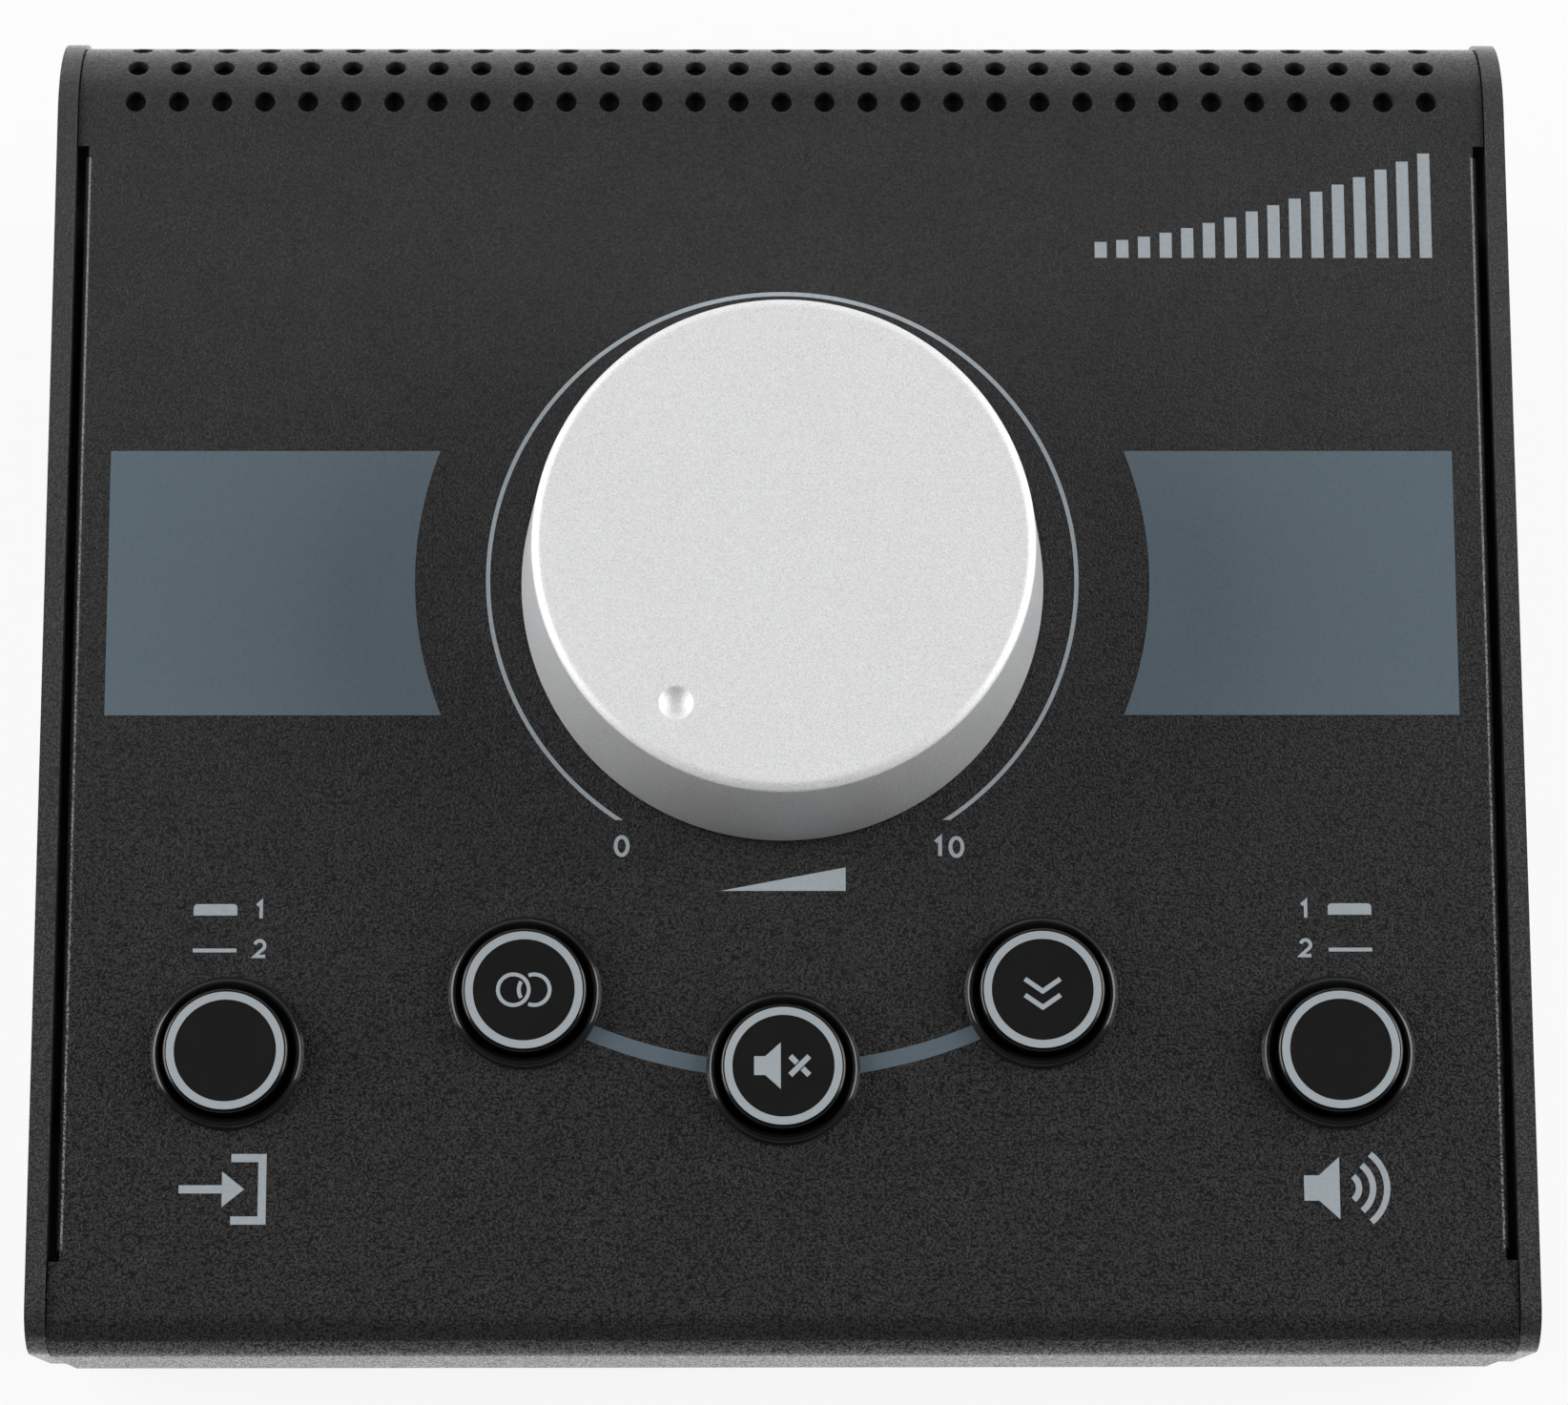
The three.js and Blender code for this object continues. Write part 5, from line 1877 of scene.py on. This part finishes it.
@dataclass
class Signs:
    """Plain signs that say what a control does."""

    press: Press
    digit_pitch: float = 0.78
    wave_angle: float = 52.0
    wave_first: float = 0.2
    wave_pitch: float = 0.19
    wave_weight: float = 0.085
    wave_steps: int = 12
    cross_reach: float = 0.17
    cross_gap: float = 0.05
    cross_weight: float = 0.1

    def number(self, digits: Sequence[Digit], centre: Flat, height: float, weight: float) -> None:
        """Prints a number.

        Args:
            digits: Its digits.
            centre: Its middle.
            height: Its height.
            weight: The line's width.
        """
        pitch = height * self.digit_pitch
        for index, digit in enumerate(digits):
            shift = centre[0] + (index - (len(digits) - 1) / 2) * pitch
            line, closed = digit.lines()
            self.press.stroke(sized(line, (shift, centre[1]), height - weight), weight, closed)

    def loudspeaker(self, centre: Flat, size: float, waves: int) -> None:
        """Prints a loudspeaker with sound waves, or with a cross where it has none."""
        x, y = centre
        body = [(-0.5, -0.17), (-0.3, -0.17), (-0.02, -0.42), (-0.02, 0.42), (-0.3, 0.17), (-0.5, 0.17)]
        self.press.shape(sized(body, centre, size))
        for wave in range(waves):
            radius = size * (self.wave_first + self.wave_pitch * wave)
            end = math.radians(self.wave_angle)
            line = arc((x + size * 0.04, y), radius, -end, end, self.wave_steps)
            self.press.stroke(line, size * self.wave_weight)
        if not waves:
            reach, gap, weight = (size * part for part in
                                  (self.cross_reach, self.cross_gap, self.cross_weight))
            middle = x + size * 0.32
            self.press.stroke([(middle - reach, y - reach), (middle + reach, y + reach)], weight)
            for end in (-1, 1):
                self.press.stroke([(middle + end * gap, y - end * gap),
                                   (middle + end * reach, y - end * reach)], weight)

    def socket_arrow(self, centre: Flat, size: float) -> None:
        """Prints an arrow into a bracket."""
        weight = 0.11
        half = weight / 2
        arrow = [(-0.62, -half), (-0.04, -half), (-0.04, -0.24), (0.26, 0), (-0.04, 0.24), (-0.04, half),
                 (-0.62, half)]
        self.press.shape(sized(arrow, centre, size))
        bracket = [(0.08, 0.42), (0.5, 0.42), (0.5, -0.42), (0.08, -0.42)]
        self.press.stroke(sized(bracket, centre, size), size * weight)

    def cap(self, name: str) -> None:
        """Prints the sign on one cap."""
        if name == "mono":
            self.press.ring((-1.35, 0), 1.75, 2.25)
            for start, end in ((-112, 112), (148, 212)):
                line = arc((1.35, 0), 2.0, math.radians(start), math.radians(end), 32)
                self.press.stroke(line, 0.5)
        if name == "mute":
            self.loudspeaker((-0.2, 0), 7.2, 0)
        if name == "dim":
            for y in (1.35, -0.75):
                self.press.stroke([(-2.3, y), (0, y - 1.6), (2.3, y)], 0.62)


@dataclass
class PanelPrint:
    """Everything that is printed on the panel."""

    ink: float = 0.03
    ring: Flat = (38.66, 39.22)
    ring_end: float = -32.5
    field_edge: float = 89.2
    field_heights: Flat = (-18.5, 17.3)
    field_radius: float = 48.6
    link: Flat = (64.45, 66.55)
    link_gap: float = 0.6
    bar: tuple[float, float, float, float] = (71.2, -45.1, 76.9, -43.6)
    line: tuple[float, float, float, float] = (71.2, -49.95, 76.9, -49.45)
    digit_reach: float = 68.2
    digit_heights: Flat = (-44.4, -49.5)
    bar_digits: Flat = (2.6, 0.45)
    low_end: Flat = (-21.1, -35.95)
    high_end: Flat = (21.6, -36.1)
    end_digits: Flat = (2.9, 0.5)
    wedge: tuple[float, float, float, float] = (-8.2, -41.9, 8.2, -38.8)
    sign_height: float = -80.8
    sign_size: float = 9.6
    level_left: float = 42.0
    level_right: float = 88.6
    level_low: float = 44.0
    level_heights: Flat = (2.2, 14.6)
    level_bars: int = 16
    level_fill: float = 0.56
    level_curve: float = 1.4

    def light(self) -> bpy.types.Object:
        """Draws the light grey print."""
        press = Press(0, self.ink)
        signs = Signs(press)
        self._scale_ring(press)
        left, low, right, high = self.wedge
        press.shape([(left, low), (right, low), (right, high)])
        for digits, centre in (([Digit.ZERO], self.low_end), ([Digit.ONE, Digit.ZERO], self.high_end)):
            signs.number(digits, centre, *self.end_digits)
        for side in (-1, 1):
            left, right = sorted((side * self.bar[0], side * self.bar[2]))
            press.bar(left, self.bar[1], right, self.bar[3], (0, 0, 0.5, 0.5))
            press.bar(left, self.line[1], right, self.line[3], (0.1, 0.1, 0.1, 0.1))
            for digit, height in zip((Digit.ONE, Digit.TWO), self.digit_heights):
                signs.number([digit], (side * self.digit_reach, height), *self.bar_digits)
        places = Buttons.places()
        signs.socket_arrow((places["source"].x, self.sign_height), self.sign_size)
        signs.loudspeaker((places["monitor"].x, self.sign_height), self.sign_size, 3)
        self._levels(press)
        return dress(press.draft.object("panel_print_light"), Coat.INK)

    def blue(self) -> bpy.types.Object:
        """Draws the blue-grey fields and the links between the buttons."""
        press = Press(0, self.ink)
        low, high = self.field_heights
        for side in (-1, 1):
            ends = [math.asin(height / self.field_radius) for height in (low, high)]
            inner = arc((0, 0), self.field_radius, ends[0], ends[1], 24)
            border = [*inner, (self.field_edge, high), (self.field_edge, low)]
            outline = [(side * x, y) for x, y in border]
            press.shape(outline if side > 0 else outline[::-1])
        places = Buttons.places()
        for first, second in (("mono", "mute"), ("mute", "dim")):
            self._link(press, places[first], places[second])
        return dress(press.draft.object("panel_print_blue"), Coat.BLUE_INK)

    def _scale_ring(self, press: Press) -> None:
        """The ring round the dial, open at the front with its ends cut level."""
        inner, outer = self.ring
        loops = []
        for radius in (outer, inner):
            end = math.asin(self.ring_end / radius)
            loops.append(arc((0, 0), radius, end, math.pi - end, 160))
        press.shape(loops[0] + loops[1][::-1])

    def _link(self, press: Press, first: Vector, second: Vector) -> None:
        """One arc between two buttons, ending under their bezels."""
        reach = Buttons.sleeve_radius() + self.link_gap
        sides = []
        for radius in self.link:
            ends = []
            for place, way in ((first, 1), (second, -1)):
                far = math.hypot(place.x, place.y)
                turn = math.acos((far ** 2 + radius ** 2 - reach ** 2) / (2 * far * radius))
                ends.append(math.atan2(place.y, place.x) + way * turn)
            sides.append(arc((0, 0), radius, ends[0], ends[1], 24))
        press.shape(sides[0] + sides[1][::-1])

    def _levels(self, press: Press) -> None:
        """A rising row of level bars."""
        shortest, tallest = self.level_heights
        pitch = (self.level_right - self.level_left) / self.level_bars
        for index in range(self.level_bars):
            left = self.level_left + index * pitch
            share = index / (self.level_bars - 1)
            height = shortest + (tallest - shortest) * share ** self.level_curve
            press.bar(left, self.level_low, left + pitch * self.level_fill, self.level_low + height)


# Scene

SLOT_COATS = {
    "black_powder_coat": Coat.CASE,
    "aluminium": Coat.DIAL_TOP_LIT,
    "steel": Coat.STEEL,
    "dark_steel": Coat.BLACK_STEEL,
    "gloss_black": Coat.BEZEL,
    "matt_black": Coat.SOCKET,
    "rubber": Coat.RUBBER,
    "green_board": Coat.BOARD,
    "grey_cable": Coat.CABLE,
    "natural_nylon": Coat.NYLON,
}


def dress_frame() -> None:
    """Gives every CAD node the finish of its material slot."""
    slots = {entry["node"]: entry["material_slot"] for entry in frame["record"]["subparts"]}
    for name, node in frame["nodes"].items():
        coat = SLOT_COATS[slots[name]].value.material()
        for place in node.material_slots:
            place.material = coat


@dataclass
class Studio:
    """The floor, the lights and the camera."""

    picture: tuple[int, int] = (1644, 1473)
    focal_pixels: float = 5091.0
    sensor: float = 36.0
    camera_place: Point = (-4.745, -140.693, 627.401)
    camera_tilt: float = 11.17
    camera_yaw: float = 0.45
    camera_roll: float = 0.11
    floor_half: float = 4.0
    floor_glow: float = 0.88
    paper: Flat = (0.86, 0.9)
    room: float = 0.02
    ceiling: float = 0.2
    ceiling_front: Flat = (-0.62, -0.22)
    backdrop: float = 0.9
    backdrop_front: Flat = (-0.25, 0.55)
    backdrop_top: Flat = (0.35, 0.85)
    lamp_power: float = 15.4
    lamp_size: Flat = (1.05, 0.96)
    lamp_place: Point = (1.16, 0.02, 0.58)

    def camera(self) -> None:
        """Sets up the camera from the photograph's solved view."""
        data = bpy.data.cameras.new("camera")
        data.sensor_width = self.sensor
        data.lens = self.focal_pixels / max(self.picture) * self.sensor
        data.clip_start = 0.01
        data.clip_end = 50
        turn = (Matrix.Rotation(math.radians(self.camera_roll), 4, "Z")
                @ Matrix.Rotation(math.radians(-self.camera_tilt), 4, "X")
                @ Matrix.Rotation(math.radians(self.camera_yaw), 4, "Y"))
        thing = bpy.data.objects.new("camera", data)
        bpy.context.scene.collection.objects.link(thing)
        place = PANEL.matrix @ Vector(self.camera_place)
        thing.matrix_world = Matrix.Translation(place) @ PANEL.turn @ turn.transposed()
        bpy.context.scene.camera = thing

    def floor(self) -> None:
        """Lays a pale floor that shows as white and keeps the soft shadow."""
        draft = Draft(ROW)
        half = self.floor_half / MILLIMETRE
        draft.face([draft.point(x * half, y * half, 0) for x, y in ((-1, -1), (1, -1), (1, 1), (-1, 1))])
        thing = draft.object("floor")
        thing.modifiers.clear()
        material = bpy.data.materials.new("floor_paper")
        material.use_nodes = True
        board = Board(material.node_tree)
        seen = board.rays("Camera", "Glossy", "Transmission")
        grain = board.noise(board.place(), 0.4, 3.0)
        darkest, palest = ((tone, tone, tone) for tone in self.paper)
        paper = board.node("ShaderNodeBsdfDiffuse", {}, {
            "Color": board.blend(grain.ramp(0.3, 0.7), darkest, palest),
        })
        glow = board.node("ShaderNodeEmission", {}, {"Color": (1, 1, 1, 1), "Strength": 1.0})
        inputs = {0: seen * self.floor_glow, 1: paper.outputs[0], 2: glow.outputs[0]}
        mixed = board.node("ShaderNodeMixShader", {}, inputs)
        board.node("ShaderNodeOutputMaterial", {}, {"Surface": mixed.outputs[0]})
        thing.data.materials.append(material)

    def world(self) -> None:
        """A bright backdrop behind and a dim room in front, white where the camera sees it."""
        world = bpy.data.worlds.new("studio")
        world.use_nodes = True
        board = Board(world.node_tree)
        seen = board.rays("Camera", "Transmission")
        way = board.wire("ShaderNodeTexCoord", {}, {}, "Generated")
        parts = board.node("ShaderNodeSeparateXYZ", {}, {0: way}).outputs
        behind = Wire(board, parts["Y"]).ramp(*self.backdrop_front)
        above = Wire(board, parts["Y"]).ramp(*self.ceiling_front) * (self.ceiling - self.room)
        low = 1 - Wire(board, parts["Z"]).ramp(*self.backdrop_top)
        sky = self.room + above + (self.backdrop - self.ceiling) * (behind * low)
        strength = seen * (1 - sky) + sky
        ground = board.node("ShaderNodeBackground", {}, {"Color": (1, 1, 1, 1), "Strength": strength})
        board.node("ShaderNodeOutputWorld", {}, {"Surface": ground.outputs[0]})
        bpy.context.scene.world = world

    def lamp(self, name: str, place: Sequence[float], size: Flat, power: float) -> None:
        """Adds a soft box that faces the object.

        Args:
            name: Its name.
            place: Its place in metres.
            size: Its width and height in metres.
            power: Its power in watts.
        """
        data = bpy.data.lights.new(name, "AREA")
        data.shape = "RECTANGLE"
        data.size, data.size_y = size
        data.energy = power
        thing = bpy.data.objects.new(name, data)
        bpy.context.scene.collection.objects.link(thing)
        thing.location = place
        thing.rotation_mode = "QUATERNION"
        thing.rotation_quaternion = (-Vector(place)).to_track_quat("-Z", "Y")

    def build(self) -> None:
        """Sets up the whole studio."""
        self.camera()
        self.floor()
        self.world()
        x, y, z = self.lamp_place
        for word, side in SIDES:
            self.lamp(f"soft_box_{word}", (side * x, y, z), self.lamp_size, self.lamp_power)
        bpy.context.scene.view_settings.view_transform = "Standard"


def main() -> None:
    """Builds the controller's looks over the frame."""
    logging.basicConfig(level=logging.INFO, format="%(message)s")
    Studio().build()
    dress_frame()
    Part(Cover().build(), "housing", "black_powder_coat", ["top_cover"])
    # The dark sheet behind the vents is painted shade.
    Part(VentShadeSheet().build(), "housing", "matt_black")
    plates = SidePlates()
    for word, side in SIDES:
        Part(plates.build(word, side), "housing", "black_powder_coat", [f"{word}_side_plate"])
    Part(Tray().build(), "housing", "black_powder_coat", ["bottom_tray"])
    fasteners = Fasteners()
    for end in ENDS:
        for word, _ in SIDES:
            Part(fasteners.side_screw(end, word), "housing", "dark_steel", [f"side_screw_{end}_{word}"])
            Part(fasteners.foot(end, word), "housing", "rubber", [f"foot_{end}_{word}"])
            Part(fasteners.recess_screw(end, word), "housing", "dark_steel")
    sockets = Sockets()
    for number in Sockets.numbers:
        jack, nut = f"jack_{number}", f"jack_nut_{number}"
        Part(sockets.socket(jack, f"socket_{jack}", JACK), "housing", "matt_black", [jack])
        Part(sockets.contact(jack, JACK.bore), "housing", "steel")
        Part(sockets.hex_nut(nut), "housing", "steel", [nut])
    Part(sockets.socket("mini_jack", "socket_small", SMALL_JACK), "housing", "matt_black", ["mini_jack"])
    Part(sockets.contact("mini_jack", SMALL_JACK.bore), "housing", "steel")
    Part(sockets.small_nut(), "housing", "steel", ["mini_jack_nut"])
    Part(Dial().build(), "volume_dial", "aluminium", ["volume_knob"])
    buttons = Buttons()
    for name in Buttons.names:
        Part(buttons.bezel(name), "housing", "gloss_black", [f"{name}_bezel"])
        Part(buttons.cap(name), f"{name}_button", "matt_black", [f"{name}_button_cap"])
        Part(buttons.print(name), f"{name}_button", "matt_black")
    prints = PanelPrint()
    Part(prints.light(), "housing", "black_powder_coat")
    Part(prints.blue(), "housing", "black_powder_coat")


if __name__ == "__main__":
    main()
